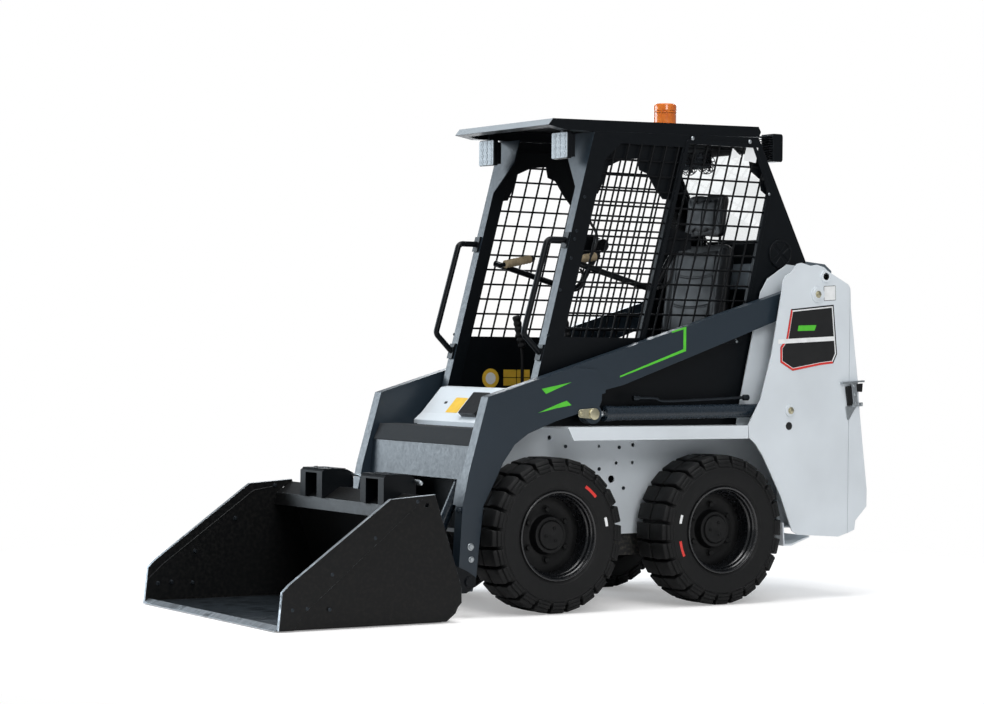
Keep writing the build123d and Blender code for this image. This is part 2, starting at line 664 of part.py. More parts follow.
def cab_side():
    """Left cab wall: skin with two windows, leaning front pillar, middle post and round cap."""
    skin = side_plate(cab_outline(), CAB_HALF - CAB_SKIN, CAB_HALF)
    skin -= side_plate(front_window(), CAB_HALF - CAB_SKIN - 1, CAB_HALF + 1)
    skin -= side_plate(rear_window(), CAB_HALF - CAB_SKIN - 1, CAB_HALF + 1)
    foot, top = PILLAR_FOOT, (pillar_y(PILLAR_TOP), PILLAR_TOP)
    pillar = side_plate([foot, top, (top[0] + 52, top[1]), (foot[0] + 52, foot[1])],
                        CAB_HALF - PILLAR_DEPTH, CAB_HALF - CAB_SKIN)
    half = POST_W / 2
    inner = POST_IN
    low, high = post_y(CAB_SILL), post_y(PILLAR_TOP)
    post = side_plate([(low - half, CAB_SILL), (high - half, PILLAR_TOP), (high + half, PILLAR_TOP),
                       (low + half, CAB_SILL)], inner, CAB_HALF - CAB_SKIN)
    pin_y, pin_z = LAP_PIVOT
    bracket = side_plate([(post_y(1370), 1370), (post_y(1490), 1490), (pin_y + 25, pin_z + 30),
                          (pin_y + 25, pin_z - 30)], inner, inner + 8)
    bracket += cross_rod(LAP_PIVOT, LAP_X - 17, inner + 4, LAP_PIN_R)
    bracket += cross_rod(LAP_PIVOT, LAP_X + 22, inner, 22)
    cap = cross_rod(CAP_CENTRE, CAB_HALF, CAB_HALF + 5, CAP_R)
    return skin + pillar + post + bracket + window_frame(rear_window()) + cap


def mesh_solids(window, x_low):
    """Welded wire mesh in one window: level wires in one layer, leaning wires in the next."""
    ys = [p[0] for p in window]
    zs = [p[1] for p in window]
    face = offset(make_face(Polyline(*window, close=True)), amount=-SEAT)
    wires = []
    z = min(zs) + WIRE_PITCH / 2
    while z < max(zs) - WIRE:
        strip = make_face(Polyline((-500, z), (1500, z), (1500, z + WIRE), (-500, z + WIRE), close=True))
        wires += strips_to_bars(face & strip, x_low)
        z += WIRE_PITCH
    span = max(zs) - min(zs)
    lean = PILLAR_SLOPE * (span + 20)
    y = min(ys) - lean
    while y < max(ys):
        strip = make_face(Polyline((y, min(zs) - 10), (y + WIRE, min(zs) - 10), (y + WIRE + lean, max(zs) + 10),
                                   (y + lean, max(zs) + 10), close=True))
        wires += strips_to_bars(face & strip, x_low + WIRE + SEAT)
        y += WIRE_PITCH
    return wires


def strips_to_bars(cut, x_low):
    if cut is None:
        return []
    bars = []
    for piece in cut.faces():
        if piece.area > 100:
            bars.append(extrude(Plane.YZ.offset(x_low) * piece, amount=WIRE, dir=(1, 0, 0)))
    return bars


def side_mesh():
    x_low = CAB_HALF - CAB_SKIN + 0.8
    return Compound(mesh_solids(front_window(), x_low) + mesh_solids(rear_window(), x_low))


def rear_plane():
    """Leaning plane of the cab's back, origin at its top edge, local y down the slope."""
    top = Vector(0, ROOF_REAR, SLOPE_TOP)
    down = Vector(0, CAB_REAR - ROOF_REAR, SLOPE_LOW - SLOPE_TOP).normalized()
    return Plane(origin=top, x_dir=(1, 0, 0), z_dir=Vector(1, 0, 0).cross(down))


def cab_back():
    """Sloping rear frame with its window, and the bulkhead below it."""
    plane = rear_plane()
    half = CAB_HALF - CAB_SKIN - SEAT
    sheet = Pos(0, REAR_LENGTH / 2 + 4, 0) * Rectangle(2 * half, REAR_LENGTH - 16)
    sheet -= Pos(0, REAR_LENGTH / 2 - 20, 0) * Rectangle(2 * half - 120, REAR_LENGTH - 150)
    frame = extrude(plane * sheet, amount=CAB_SKIN, dir=(0, -0.9, -0.45))
    return frame


def rear_mesh():
    """Wire mesh in the rear window."""
    plane = rear_plane()
    half = CAB_HALF - CAB_SKIN - SEAT - 60 - SEAT
    low = REAR_LENGTH / 2 - 20 - (REAR_LENGTH - 150) / 2 + SEAT
    high = low + REAR_LENGTH - 150 - 2 * SEAT
    wires = []
    y = low + WIRE_PITCH / 2
    while y < high - WIRE:
        level = plane * Pos(0, y, 0) * Rectangle(2 * half, WIRE)
        wires.append(extrude(level, amount=WIRE, dir=plane.z_dir * -1))
        y += WIRE_PITCH
    x = -half + WIRE_PITCH / 2
    while x < half:
        wires.append(extrude(plane.offset(SEAT) * Pos(x, (low + high) / 2, 0) * Rectangle(WIRE, high - low),
                             amount=WIRE, dir=plane.z_dir))
        x += WIRE_PITCH
    return Compound(wires)


def cab_floor():
    """Cab floor, seat riser and bulkhead behind the seat, one welded tray."""
    narrow = CAB_HALF - PILLAR_DEPTH - SEAT
    half = CAB_HALF - CAB_SKIN - SEAT
    thick = 8.0
    riser_y = 552.0
    floor_z = (FENDER_TOP + SEAT, FENDER_TOP + thick)
    solid = block((-narrow, narrow), (-20, riser_y), floor_z)
    solid += block((-POST_IN + SEAT, POST_IN - SEAT), (60, riser_y + thick), floor_z)
    solid += block((-half, half), (riser_y, riser_y + thick), (FENDER_TOP + SEAT, DECK_Z))
    solid += block((-half, half), (riser_y, WALL_Y + thick), (DECK_Z - thick, DECK_Z))
    solid += block((-half, half), (WALL_Y, WALL_Y + thick), (DECK_Z - thick, 1250))
    solid += block((-half, half), (WALL_Y, CAB_REAR - 2), (1250 - thick, 1250))
    return solid


def footwell_cover():
    """Sloping white cover at the cab's threshold."""
    half = CAB_HALF - PILLAR_DEPTH - 8
    return side_plate([(-184, HULL_TOP + SEAT), (-184, 712), (-150, 740), (-60, 840), (-30, 845), (-24, 838),
                       (-24, HULL_TOP + SEAT)], -half, half)


def roof_top(y):
    """Height of the roof's gently rising top."""
    return ROOF_LOW + (y - ROOF_FRONT) * ROOF_RISE


def roof_under(y):
    """Height of the roof sheet's underside."""
    return roof_top(y) - ROOF_SHEET


def roof():
    """Roof pan with a folded visor at the front."""
    outline = [(26, 1854), (ROOF_FRONT, ROOF_LOW), (ROOF_REAR, ROOF_HIGH), (ROOF_REAR + 12, 1880),
               (ROOF_REAR + 2, SLOPE_TOP + 1), (pillar_y(PILLAR_TOP) - 4, PILLAR_TOP + SEAT), (106, PILLAR_TOP)]
    outer = side_plate(outline, -CAB_HALF, CAB_HALF)
    rear = ROOF_REAR - 12
    under = roof_under
    pocket = side_plate([(60, 1830), (60, under(60)), (rear, under(rear)), (rear, 1830)],
                        -CAB_HALF + PILLAR_DEPTH + 2, CAB_HALF - PILLAR_DEPTH - 2)
    return outer - pocket


def lamps():
    """Two work lamps under the visor."""
    low, high = WORK_LAMP_Z
    body = block((223, 307), (125, 148), (low, high))
    body += block((233, 297), (148, 172), (low + 12, high - 12))
    body += block((255, 275), (138, 150), (high - 6, roof_under(138) - SEAT))
    return both_sides(body)


def beacon():
    place = Pos(0, 822, roof_top(822) + SEAT) * Rot(math.degrees(math.atan(ROOF_RISE)), 0, 0)
    base = Pos(0, 0, 6) * Cylinder(50, 12)
    dome = Pos(0, 0, 60) * Cylinder(47.5, 96)
    return place * (base + dome)


def rear_lamps():
    """Two ribbed lamps on stalks behind the roof."""
    low, high = REAR_LAMP_Z
    front = ROOF_REAR + 72
    body = block((245, 325), (front + 14, front + 68), (low, high))
    for i in range(6):
        z = low + 8 + i * (high - low - 22) / 5
        body += block((250, 320), (front, front + 14), (z, z + 6))
    body += block((275, 295), (ROOF_REAR + 2 + 5 + SEAT, front + 20), (high - 18, high - 10))
    return both_sides(body)


def seat_back_line(z):
    """Rear face of the backrest at height z."""
    return BACK_REAR + (z - CUSHION_Z[1]) * BACK_LEAN


def seat_base():
    """Seat box with the pressed shell behind the backrest and the head rest's two posts."""
    low, high = CUSHION_Z[1] - 60, 1400.0
    solid = block((-190, 190), (620, BACK_REAR + 8), (DECK_Z + SEAT, CUSHION_Z[0] - SEAT))
    shell = [(seat_back_line(CUSHION_Z[1]) + SEAT, low), (seat_back_line(CUSHION_Z[1]) + SEAT, CUSHION_Z[1]),
             (seat_back_line(high) + SEAT, high), (seat_back_line(high) + 8, high),
             (seat_back_line(CUSHION_Z[1]) + 8, CUSHION_Z[1]), (BACK_REAR + 8, CUSHION_Z[0] - 10),
             (BACK_REAR - 12, CUSHION_Z[0] - 10), (BACK_REAR - 12, CUSHION_Z[0] - SEAT)]
    solid += side_plate(shell, -150, 150)
    post_top = 1480.0
    for x in (-60, 60):
        foot = (x, seat_back_line(high) + 6, high - 40)
        solid += bar_between(foot, (x, seat_back_line(post_top) + 2, post_top), 6)
    return solid


def pad(section, half, radius):
    """Upholstered pad: a (y, z) section with rounded corners, its two ends chamfered."""
    form = side_plate(section, -half, half, radius)
    ends = form.faces().sort_by(Axis.X)
    return chamfer(ends[0].edges() + ends[-1].edges(), 14)


def seat_cushion():
    low, high = CUSHION_Z
    return pad([(590, low), (985, low), (985, high), (590, high)], 225, 22)


def seat_back():
    low, high = CUSHION_Z[1] + SEAT, 1440.0
    return pad([(925, low), (seat_back_line(low), low), (seat_back_line(high), high), (985, high)], 215, 20)


def head_rest():
    low, high = 1462.0, 1645.0
    rest = pad([(990, low), (1068, low), (1088, high), (1018, high)], 130, 24)
    for x in (-60, 60):
        rest -= bar_between((x, seat_back_line(1400) + 6, 1360), (x, seat_back_line(1480) + 2, 1480), 6 + SEAT)
    return rest


def grab_handles():
    """Bent tube in front of each pillar on two bolted feet."""
    r = 11.5
    x = 322.0
    foot_t = 10.0
    ends = ((pillar_y(1418) - foot_t + 2, 1418), (pillar_y(985) - foot_t + 2, 985))
    points = [(x, *ends[0]), (x, 38, 1418), (x, -66, 1055), (x, *ends[1])]
    solid = bent_tube(points, 24, r)
    for end_y, z in ends:
        foot = [(pillar_y(z - 30) - SEAT, z - 30), (pillar_y(z + 30) - SEAT, z + 30),
                (pillar_y(z + 30) - foot_t, z + 30), (pillar_y(z - 30) - foot_t, z - 30)]
        solid += side_plate(foot, x - 18, x + 18)
    return both_sides(solid)


def levers():
    """Two hand levers in front of the seat."""
    x, y = 170.0, 250.0
    lever = bar_between((x, y, FENDER_TOP + 8.3), (x, y, 1010), 7)
    lever += bar_between((x, y, 1000), (x, y - 32, 1130), 17)
    lever += Pos(x, y, FENDER_TOP + 25) * Cylinder(32, 33)
    return both_sides(lever)


def lap_bar():
    """Fold-down restraint: on each side an arm from a hub by the cab wall, turned in to the grip."""
    hub_width = 34.0
    grip_x = LAP_X - GRIP_INSET
    solid = cross_rod(LAP_PIVOT, LAP_X - hub_width / 2, LAP_X + hub_width / 2, 26)
    solid += bent_tube([(LAP_X, *LAP_PIVOT), (LAP_X, *LAP_BEND), (LAP_X, *LAP_TIP)], 60, LAP_TUBE_R)
    solid += bar_between((LAP_X, LAP_TIP[0] + 4, LAP_TIP[1]), (grip_x, *GRIP_FRONT), GRIP_CORE_R)
    solid += bar_between((grip_x, *GRIP_FRONT), (grip_x, *GRIP_REAR), GRIP_CORE_R)
    solid -= cross_rod(LAP_PIVOT, LAP_X - hub_width, LAP_X + hub_width, LAP_PIN_R + RUN)
    return both_sides(solid)


def lap_grips():
    """Ribbed sleeves on the restraint's forward ends."""
    front, rear = Vector(LAP_X - GRIP_INSET, *GRIP_FRONT), Vector(LAP_X - GRIP_INSET, *GRIP_REAR)
    unit = (rear - front).normalized()
    grip = bar_between(front + unit * 24, rear - unit * 18, 17)
    grip -= bar_between(front, rear, GRIP_CORE_R + SEAT)
    return both_sides(grip)


def fans():
    """Two small cage fans on a bracket behind the seat's head."""
    fan = Pos(60, 985, 1768) * Rot(70, 0, 0) * Cylinder(50, 40)
    bracket = block((-95, 95), (990, 996), (1745, roof_under(990) - SEAT))
    return fan + mirror(fan, about=Plane.YZ) + bracket


def all_parts():
    parts = {
        "hull": hull(), "fenders": fenders(), "undercarriage": rails(), "tower_left": tower(),
        "tower_right": tower_right(), "axle_housings": axle_housings(), "battery_block": battery(), "hood": hood(),
        "cab_side_left": cab_side(), "cab_side_right": mirror(cab_side(), about=Plane.YZ),
        "mesh_left": side_mesh(), "mesh_right": mirror(side_mesh(), about=Plane.YZ),
        "pillar_gussets": pillar_gussets(), "cab_back": cab_back(), "mesh_rear": rear_mesh(),
        "cab_floor": cab_floor(), "footwell_cover": footwell_cover(), "roof": roof(), "work_lamps": lamps(), "beacon": beacon(), "rear_lamps": rear_lamps(),
        "seat_base": seat_base(), "seat_cushion": seat_cushion(), "seat_back": seat_back(), "head_rest": head_rest(),
        "grab_handles": grab_handles(), "levers": levers(), "fans": fans(),
        "rear_door": rear_door(), "door_latch": door_latch(),
        "arm_left": arm(), "arm_right": mirror(arm(), about=Plane.YZ), "arm_crossmember": arm_crossmember(),
        "step_pad": step_pad(),
        "carrier": bucket_carrier(), "carrier_hooks": carrier_hooks(), "bucket_shell": bucket_shell(),
        "bucket_cheeks": bucket_cheeks(), "cutting_edge": cutting_edge(),
        "lap_bar": lap_bar(), "lap_grips": lap_grips(),
    }
    parts["lift_barrels"], parts["lift_rods"] = lift_cylinders()
    parts["tilt_barrels"], parts["tilt_rods"] = tilt_cylinders()
    parts.update(wheels())
    return parts


def main():
    os.makedirs("parts", exist_ok=True)
    for name, shape in all_parts().items():
        export_step(ORIGIN_SHIFT * shape, "parts/" + name + ".step")


if __name__ == "__main__":
    main()
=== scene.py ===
"""Compact electric skid steer loader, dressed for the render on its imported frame.

Metres, in the frame's own axes: X is across, the bucket faces -Y, +Z is up.
Lengths typed in millimetres carry MM.
"""
import json
import math
import bmesh
import bpy
import numpy as np
from mathutils import Matrix


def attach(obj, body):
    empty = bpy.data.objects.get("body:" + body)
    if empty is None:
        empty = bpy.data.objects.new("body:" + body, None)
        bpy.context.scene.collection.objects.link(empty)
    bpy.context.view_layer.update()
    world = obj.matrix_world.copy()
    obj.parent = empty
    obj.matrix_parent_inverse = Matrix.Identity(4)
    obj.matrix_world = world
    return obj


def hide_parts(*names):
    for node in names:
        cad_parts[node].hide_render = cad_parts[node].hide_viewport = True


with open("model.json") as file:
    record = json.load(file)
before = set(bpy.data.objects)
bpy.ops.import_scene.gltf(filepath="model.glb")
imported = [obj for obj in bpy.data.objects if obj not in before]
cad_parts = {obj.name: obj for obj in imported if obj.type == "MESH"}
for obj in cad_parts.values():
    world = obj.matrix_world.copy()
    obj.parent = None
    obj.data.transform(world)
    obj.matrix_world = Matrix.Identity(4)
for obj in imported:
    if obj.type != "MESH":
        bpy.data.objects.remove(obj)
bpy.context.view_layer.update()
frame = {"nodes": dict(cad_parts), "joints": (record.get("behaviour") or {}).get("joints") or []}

MM = 0.001
AXLE_SHIFT = -149 * MM
OUT = (1.0, 0.0, 0.0)
FRONT = (0.0, -1.0, 0.0)
UP = (0.0, 0.0, 1.0)
JOINTS = {j["name"]: j for j in frame["joints"]}


# Colours

WHITE_HEX = "#d6dde2"
SLATE_HEX = "#1e2a34"
BLACK_HEX = "#070b0f"
BUCKET_HEX = "#08090a"
GREY_HEX = "#59636b"
RUBBER_HEX = "#0b0c0d"
ZINC_HEX = "#c9c3a6"
GREEN_HEX = "#54c232"
YELLOW_HEX = "#e9bd3a"
RED_HEX = "#d8322a"
VINYL_HEX = "#0c0f12"
FOAM_HEX = "#a8977a"
BARE_HEX = "#f0efe9"


def linear(hex_colour, gain=1.0):
    """sRGB hex to linear RGBA: a channel below 0.04045 is divided by 12.92, the rest follow the 2.4 power."""
    channels = [int(hex_colour[i:i + 2], 16) / 255 for i in (1, 3, 5)]
    lit = [c / 12.92 if c <= 0.04045 else ((c + 0.055) / 1.055) ** 2.4 for c in channels]
    return (*[min(1.0, c * gain) for c in lit], 1.0)


# Shader nodes

def add(tree, kind, inputs=None, **settings):
    """Adds one node. Settings are its own properties; inputs are sockets to link or plain values."""
    node = tree.nodes.new(kind)
    for key, value in settings.items():
        setattr(node, key, value)
    for key, value in (inputs or {}).items():
        if isinstance(value, bpy.types.NodeSocket):
            tree.links.new(value, node.inputs[key])
        else:
            node.inputs[key].default_value = value
    return node


def new_material(name, **surface):
    """A material with one Principled shader; surface names its sockets' plain values."""
    material = bpy.data.materials.new(name)
    material.use_nodes = True
    tree = material.node_tree
    shader = tree.nodes["Principled BSDF"]
    for key, value in surface.items():
        shader.inputs[key.replace("_", " ")].default_value = value
    return material, tree, shader


def grain(tree, size, detail=2.0, roughness=0.5):
    """Noise on Object coordinates whose features are about size metres across."""
    place = add(tree, "ShaderNodeTexCoord")
    return add(tree, "ShaderNodeTexNoise", {"Vector": place.outputs["Object"], "Scale": 1 / size, "Detail": detail,
                                            "Roughness": roughness})


def between(tree, factor, low, high, start=0.3, end=0.7):
    """A factor from start to end spread over low to high."""
    return add(tree, "ShaderNodeMapRange", {"Value": factor, "From Min": start, "From Max": end, "To Min": low,
                                            "To Max": high}).outputs["Result"]


def tinted(tree, factor, low, high):
    """A colour that runs from low to high with the factor."""
    mix = add(tree, "ShaderNodeMix", {"Factor": factor}, data_type="RGBA")
    mix.inputs["A"].default_value = low
    mix.inputs["B"].default_value = high
    return mix.outputs["Result"]


def over(tree, factor, base, top):
    """The top colour laid over a base socket where the factor is one."""
    mix = add(tree, "ShaderNodeMix", {"Factor": factor}, data_type="RGBA")
    tree.links.new(base, mix.inputs["A"])
    mix.inputs["B"].default_value = top
    return mix.outputs["Result"]


def soft_edge(tree, radius):
    """Normals rounded over the piece's edges, as paint and rolled steel are."""
    return add(tree, "ShaderNodeBevel", {"Radius": radius}, samples=4).outputs["Normal"]


def edge_mask(tree, rounded, start, breakup):
    """One on sharp edges: where the rounded normal leaves the face's own, broken up by a grain."""
    face = add(tree, "ShaderNodeNewGeometry").outputs["Normal"]
    dot = add(tree, "ShaderNodeVectorMath", operation="DOT_PRODUCT")
    tree.links.new(face, dot.inputs[0])
    tree.links.new(rounded, dot.inputs[1])
    bent = between(tree, dot.outputs["Value"], 1.0, 0.0, start, 1.0)
    patchy = between(tree, breakup, 0.0, 1.0, 0.42, 0.62)
    return add(tree, "ShaderNodeMath", {0: bent, 1: patchy}, operation="MULTIPLY", use_clamp=True).outputs["Value"]


def bumped(tree, shader, height, distance, rounded=None):
    """Feeds a height through a bump of that depth in metres into the shader's normal."""
    inputs = {"Height": height, "Distance": distance}
    if rounded is not None:
        inputs["Normal"] = rounded
    node = add(tree, "ShaderNodeBump", inputs)
    tree.links.new(node.outputs["Normal"], shader.inputs["Normal"])


def surfaced(tree, shader, tone, roughness, height, depth, rounded=None):
    """Links the colour and the roughness to the shader, and bumps it by the height times the depth in metres."""
    tree.links.new(tone, shader.inputs["Base Color"])
    tree.links.new(roughness, shader.inputs["Roughness"])
    bumped(tree, shader, height, depth, rounded)


def powder_coat(name, colour, roughness, wear_and_highlight=BARE_HEX, wear_and_highlight_amount=0.5, edge=1.2 * MM, dust=0.0, shine=0.5):
    """Powder-coated sheet steel: slight orange peel 2 mm across, tone drifting over 300 mm, rubbed edges in a second
    colour; on the bucket that colour is light enough to be a painted edge highlight as well.
    """
    material, tree, shader = new_material(name, IOR=1.5, Specular_IOR_Level=shine)
    broad = grain(tree, 300 * MM, 3.0).outputs["Fac"]
    peel = grain(tree, 2.2 * MM, 1.0).outputs["Fac"]
    patches = grain(tree, 14 * MM, 4.0).outputs["Fac"]
    tone = tinted(tree, between(tree, broad, 0.0, 1.0), linear(colour, 0.93), linear(colour, 1.07))
    if dust:
        settled = between(tree, patches, 0.0, dust, 0.45, 0.75)
        tone = over(tree, settled, tone, linear("#8d8578"))
    rounded = soft_edge(tree, edge)
    worn_and_lit_edges = edge_mask(tree, rounded, 0.86, patches)
    # The edge colour is laid over the edges by this share: worn paint, and on the bucket a painted highlight too.
    rub = add(tree, "ShaderNodeMath", {0: worn_and_lit_edges, 1: wear_and_highlight_amount}, operation="MULTIPLY").outputs["Value"]
    surfaced(tree, shader, over(tree, rub, tone, linear(wear_and_highlight)), between(tree, patches, roughness - 0.04, roughness +
                                                                        0.08), peel, 0.02 * MM, rounded)
    return material


def worn_plate(name, dull, bright_steel):
    """Mild steel ground bright by the load: streaks along Y 3 mm apart, darker where mill scale is left."""
    material, tree, shader = new_material(name, Metallic=1.0)
    place = add(tree, "ShaderNodeTexCoord")
    stretch = add(tree, "ShaderNodeMapping", {"Vector": place.outputs["Object"], "Scale": (330.0, 9.0, 9.0)})
    streak = add(tree, "ShaderNodeTexNoise", {"Vector": stretch.outputs["Vector"], "Scale": 1.0, "Detail": 3.0})
    scale = grain(tree, 90 * MM, 5.0, 0.65).outputs["Fac"]
    bright = tinted(tree, between(tree, streak.outputs["Fac"], 0.0, 1.0), linear(dull), linear(bright_steel))
    tone = over(tree, between(tree, scale, 0.0, 0.8, 0.52, 0.62), bright, linear("#2d3338"))
    surfaced(tree, shader, tone, between(tree, scale, 0.28, 0.5), streak.outputs["Fac"], 0.05 * MM,
             soft_edge(tree, 1.0 * MM))
    return material


def mottled(name, size, detail, tones, roughness, depth, edge, **surface):
    """A finish where one grain drives the colour between two tones, the roughness and the bump."""
    material, tree, shader = new_material(name, **surface)
    cloud = grain(tree, size, detail).outputs["Fac"]
    tone = tinted(tree, between(tree, cloud, 0.0, 1.0), *tones)
    rounded_normal = soft_edge(tree, edge) if edge else None
    surfaced(tree, shader, tone, between(tree, cloud, *roughness), cloud, depth, rounded_normal)
    return material


def plated(name, colour, roughness):
    """Plated or machined steel: metallic, with a faint cloudiness 8 mm across."""
    return mottled(name, 8 * MM, 3.0, (linear(colour, 0.82), linear(colour)), (roughness, roughness + 0.1), 0.03 * MM,
                   0.6 * MM, Metallic=1.0)


def amber_acrylic(name):
    """Moulded amber acrylic: tinted through and glossy."""
    return mottled(name, 25 * MM, 2.0, (linear("#e06c16"), linear("#f68d34")), (0.14, 0.22), 0.04 * MM, 0.8 * MM,
                   IOR=1.49, Transmission_Weight=0.25, Coat_Weight=0.4)


def printed_film(name, colour, roughness=0.35):
    """Printed vinyl film: flat colour with a faint mottle and a light gloss."""
    return mottled(name, 30 * MM, 2.0, (linear(colour, 0.92), linear(colour, 1.05)),
                   (roughness - 0.04, roughness + 0.06), 0.01 * MM, None, IOR=1.5, Coat_Weight=0.2)


def moulded_rubber(name, colour, roughness=0.62, dust=0.25):
    """Vulcanised rubber: pitted 1.5 mm, matt, greyer where dust has settled."""
    material, tree, shader = new_material(name, IOR=1.52, Specular_IOR_Level=0.28)
    pits = grain(tree, 1.6 * MM, 3.0).outputs["Fac"]
    scuffs = grain(tree, 45 * MM, 5.0, 0.6).outputs["Fac"]
    tone = tinted(tree, between(tree, scuffs, 0.0, 1.0, 0.4, 0.75), linear(colour, 0.8), linear(colour, 1.0 + dust))
    surfaced(tree, shader, tone, between(tree, scuffs, roughness - 0.06, roughness + 0.1), pits, 0.12 * MM,
             soft_edge(tree, 1.5 * MM))
    return material


def seat_vinyl(name):
    """Embossed upholstery vinyl: leather-like cells 2.5 mm across and a low gloss."""
    material, tree, shader = new_material(name, IOR=1.5, Specular_IOR_Level=0.32)
    place = add(tree, "ShaderNodeTexCoord")
    cells = add(tree, "ShaderNodeTexVoronoi", {"Vector": place.outputs["Object"], "Scale": 1 / (2.5 * MM)},
                feature="DISTANCE_TO_EDGE")
    rub = grain(tree, 60 * MM, 3.0).outputs["Fac"]
    tone = tinted(tree, between(tree, rub, 0.0, 1.0), linear(VINYL_HEX, 0.8), linear(VINYL_HEX, 1.25))
    surfaced(tree, shader, tone, between(tree, rub, 0.38, 0.52), cells.outputs["Distance"], 0.15 * MM)
    return material


def clear_lens(name):
    """Clear polycarbonate over a bright reflector: pale, glossy, finely faceted at 6 mm."""
    material, tree, shader = new_material(name, Metallic=0.15, Coat_Weight=0.2)
    place = add(tree, "ShaderNodeTexCoord")
    facets = add(tree, "ShaderNodeTexVoronoi", {"Vector": place.outputs["Object"], "Scale": 1 / (6 * MM)})
    tone = tinted(tree, facets.outputs["Distance"], linear("#4c5256"), linear("#9ea4a8"))
    surfaced(tree, shader, tone, between(tree, facets.outputs["Distance"], 0.3, 0.5, 0.0, 1.0),
             facets.outputs["Distance"], 0.4 * MM)
    return material


def clear_sheet(name):
    """Clear polycarbonate sheet: colourless, glossy, with a faint waviness 80 mm across."""
    material, tree, shader = new_material(name, IOR=1.45, Transmission_Weight=1.0)
    wave = grain(tree, 80 * MM, 1.0).outputs["Fac"]
    surfaced(tree, shader, tinted(tree, wave, linear("#f1f5f6"), linear("#fbfdfd")), between(tree, wave, 0.01, 0.03),
             wave, 0.01 * MM)
    return material


WHITE = powder_coat("white_powder_coat", WHITE_HEX, 0.38, wear_and_highlight="#9aa0a4", wear_and_highlight_amount=0.35)
SLATE = powder_coat("slate_powder_coat", SLATE_HEX, 0.36, wear_and_highlight="#5f6f7c", wear_and_highlight_amount=0.3)
BLACK = powder_coat("black_powder_coat", BLACK_HEX, 0.34, wear_and_highlight="#4b545c", wear_and_highlight_amount=0.3, shine=0.2)
GREY = powder_coat("grey_powder_coat", GREY_HEX, 0.4)
WIRE = powder_coat("black_wire_coat", "#05070a", 0.5, wear_and_highlight="#05070a", wear_and_highlight_amount=0.0, shine=0.15)
# The bucket's light edge colour at 0.7 is partly worn paint and partly a painted highlight along its edges.
BUCKET = powder_coat("bucket_black_enamel", BUCKET_HEX, 0.42, wear_and_highlight="#9aa3aa", wear_and_highlight_amount=0.7, dust=0.02, shine=0.25)
UNDER = powder_coat("chassis_black_primer", "#1a1c1d", 0.6, wear_and_highlight="#4c4f50", dust=0.25)
HUB_COAT = powder_coat("hub_matt_black", "#060708", 0.5, wear_and_highlight="#2c3136", wear_and_highlight_amount=0.3, shine=0.3)
RIM_COAT = powder_coat("rim_black_gloss", "#0a0c0f", 0.22, wear_and_highlight="#5a6670", wear_and_highlight_amount=0.12, shine=0.8)
CYLINDER = powder_coat("cylinder_slate_gloss", "#1c262f", 0.26, wear_and_highlight="#1c262f", wear_and_highlight_amount=0.0)
TYRE = moulded_rubber("tyre_rubber", RUBBER_HEX)
TREAD = moulded_rubber("step_tread_rubber", "#25282b", 0.8, 0.35)
FOAM = moulded_rubber("tan_grip_foam", FOAM_HEX, 0.85, 0.2)
KNOB = moulded_rubber("black_knob_plastic", "#101113", 0.45, 0.1)
VINYL = seat_vinyl("black_seat_vinyl")
PLATE_STEEL = worn_plate("worn_bucket_steel", "#2b3238", "#626d76")
LIP_STEEL = worn_plate("bright_lip_steel", "#8f989f", "#dfe5ea")
CHROME = plated("hard_chrome_rod", "#d8dde0", 0.1)
ZINC = plated("yellow_zinc_plate", ZINC_HEX, 0.32)
BOLT = plated("bright_zinc_bolt", "#b9c0c4", 0.28)
DARK_BOLT = plated("black_oxide_bolt", "#3a3f44", 0.38)
AMBER = amber_acrylic("amber_acrylic")
LENS = clear_lens("clear_lamp_lens")
GREEN = printed_film("green_film", GREEN_HEX)
RED = printed_film("red_film", RED_HEX)
BLACK_FILM = printed_film("black_film", "#0e0f10")
YELLOW = printed_film("yellow_film", YELLOW_HEX, 0.5)
PALE = printed_film("white_film", "#eceeee", 0.5)
SILVER = powder_coat("silver_powder_coat", "#8d9499", 0.4, wear_and_highlight="#c9cdd0", wear_and_highlight_amount=0.3)
PANE = clear_sheet("clear_polycarbonate")

CAD_FINISH = {
    WHITE: ["hull", "fenders", "tower_left", "tower_right", "rear_door", "footwell_cover"],
    GREY: ["hood"],
    SLATE: ["arm_left", "arm_right", "arm_crossmember"],
    BLACK: ["cab_side_left", "cab_side_right", "cab_back", "cab_floor", "pillar_gussets", "roof", "seat_base",
            "work_lamps", "rear_lamps", "fans", "carrier", "carrier_hooks", "grab_handles", "levers", "lap_bar"],
    UNDER: ["undercarriage", "axle_housings", "battery_block"],
    WIRE: ["mesh_left", "mesh_right", "mesh_rear"],
    BUCKET: ["bucket_shell", "bucket_cheeks"],
    LIP_STEEL: ["cutting_edge"],
    ZINC: ["door_latch"],
    CYLINDER: ["lift_barrels", "tilt_barrels"],
    CHROME: ["lift_rods", "tilt_rods"],
    AMBER: ["beacon"],
    TREAD: ["step_pad"],
    FOAM: ["lap_grips"],
    VINYL: ["seat_cushion", "seat_back", "head_rest"],
    RIM_COAT: ["rim_fl", "rim_fr", "rim_rl", "rim_rr"],
    TYRE: ["tyre_fl", "tyre_fr", "tyre_rl", "tyre_rr"],
}
for finish, names in CAD_FINISH.items():
    for node_name in names:
        mesh = frame["nodes"][node_name].data
        mesh.materials.clear()
        mesh.materials.append(finish)


# Surfaces: each is (points, faces), points as an (n, 3) array

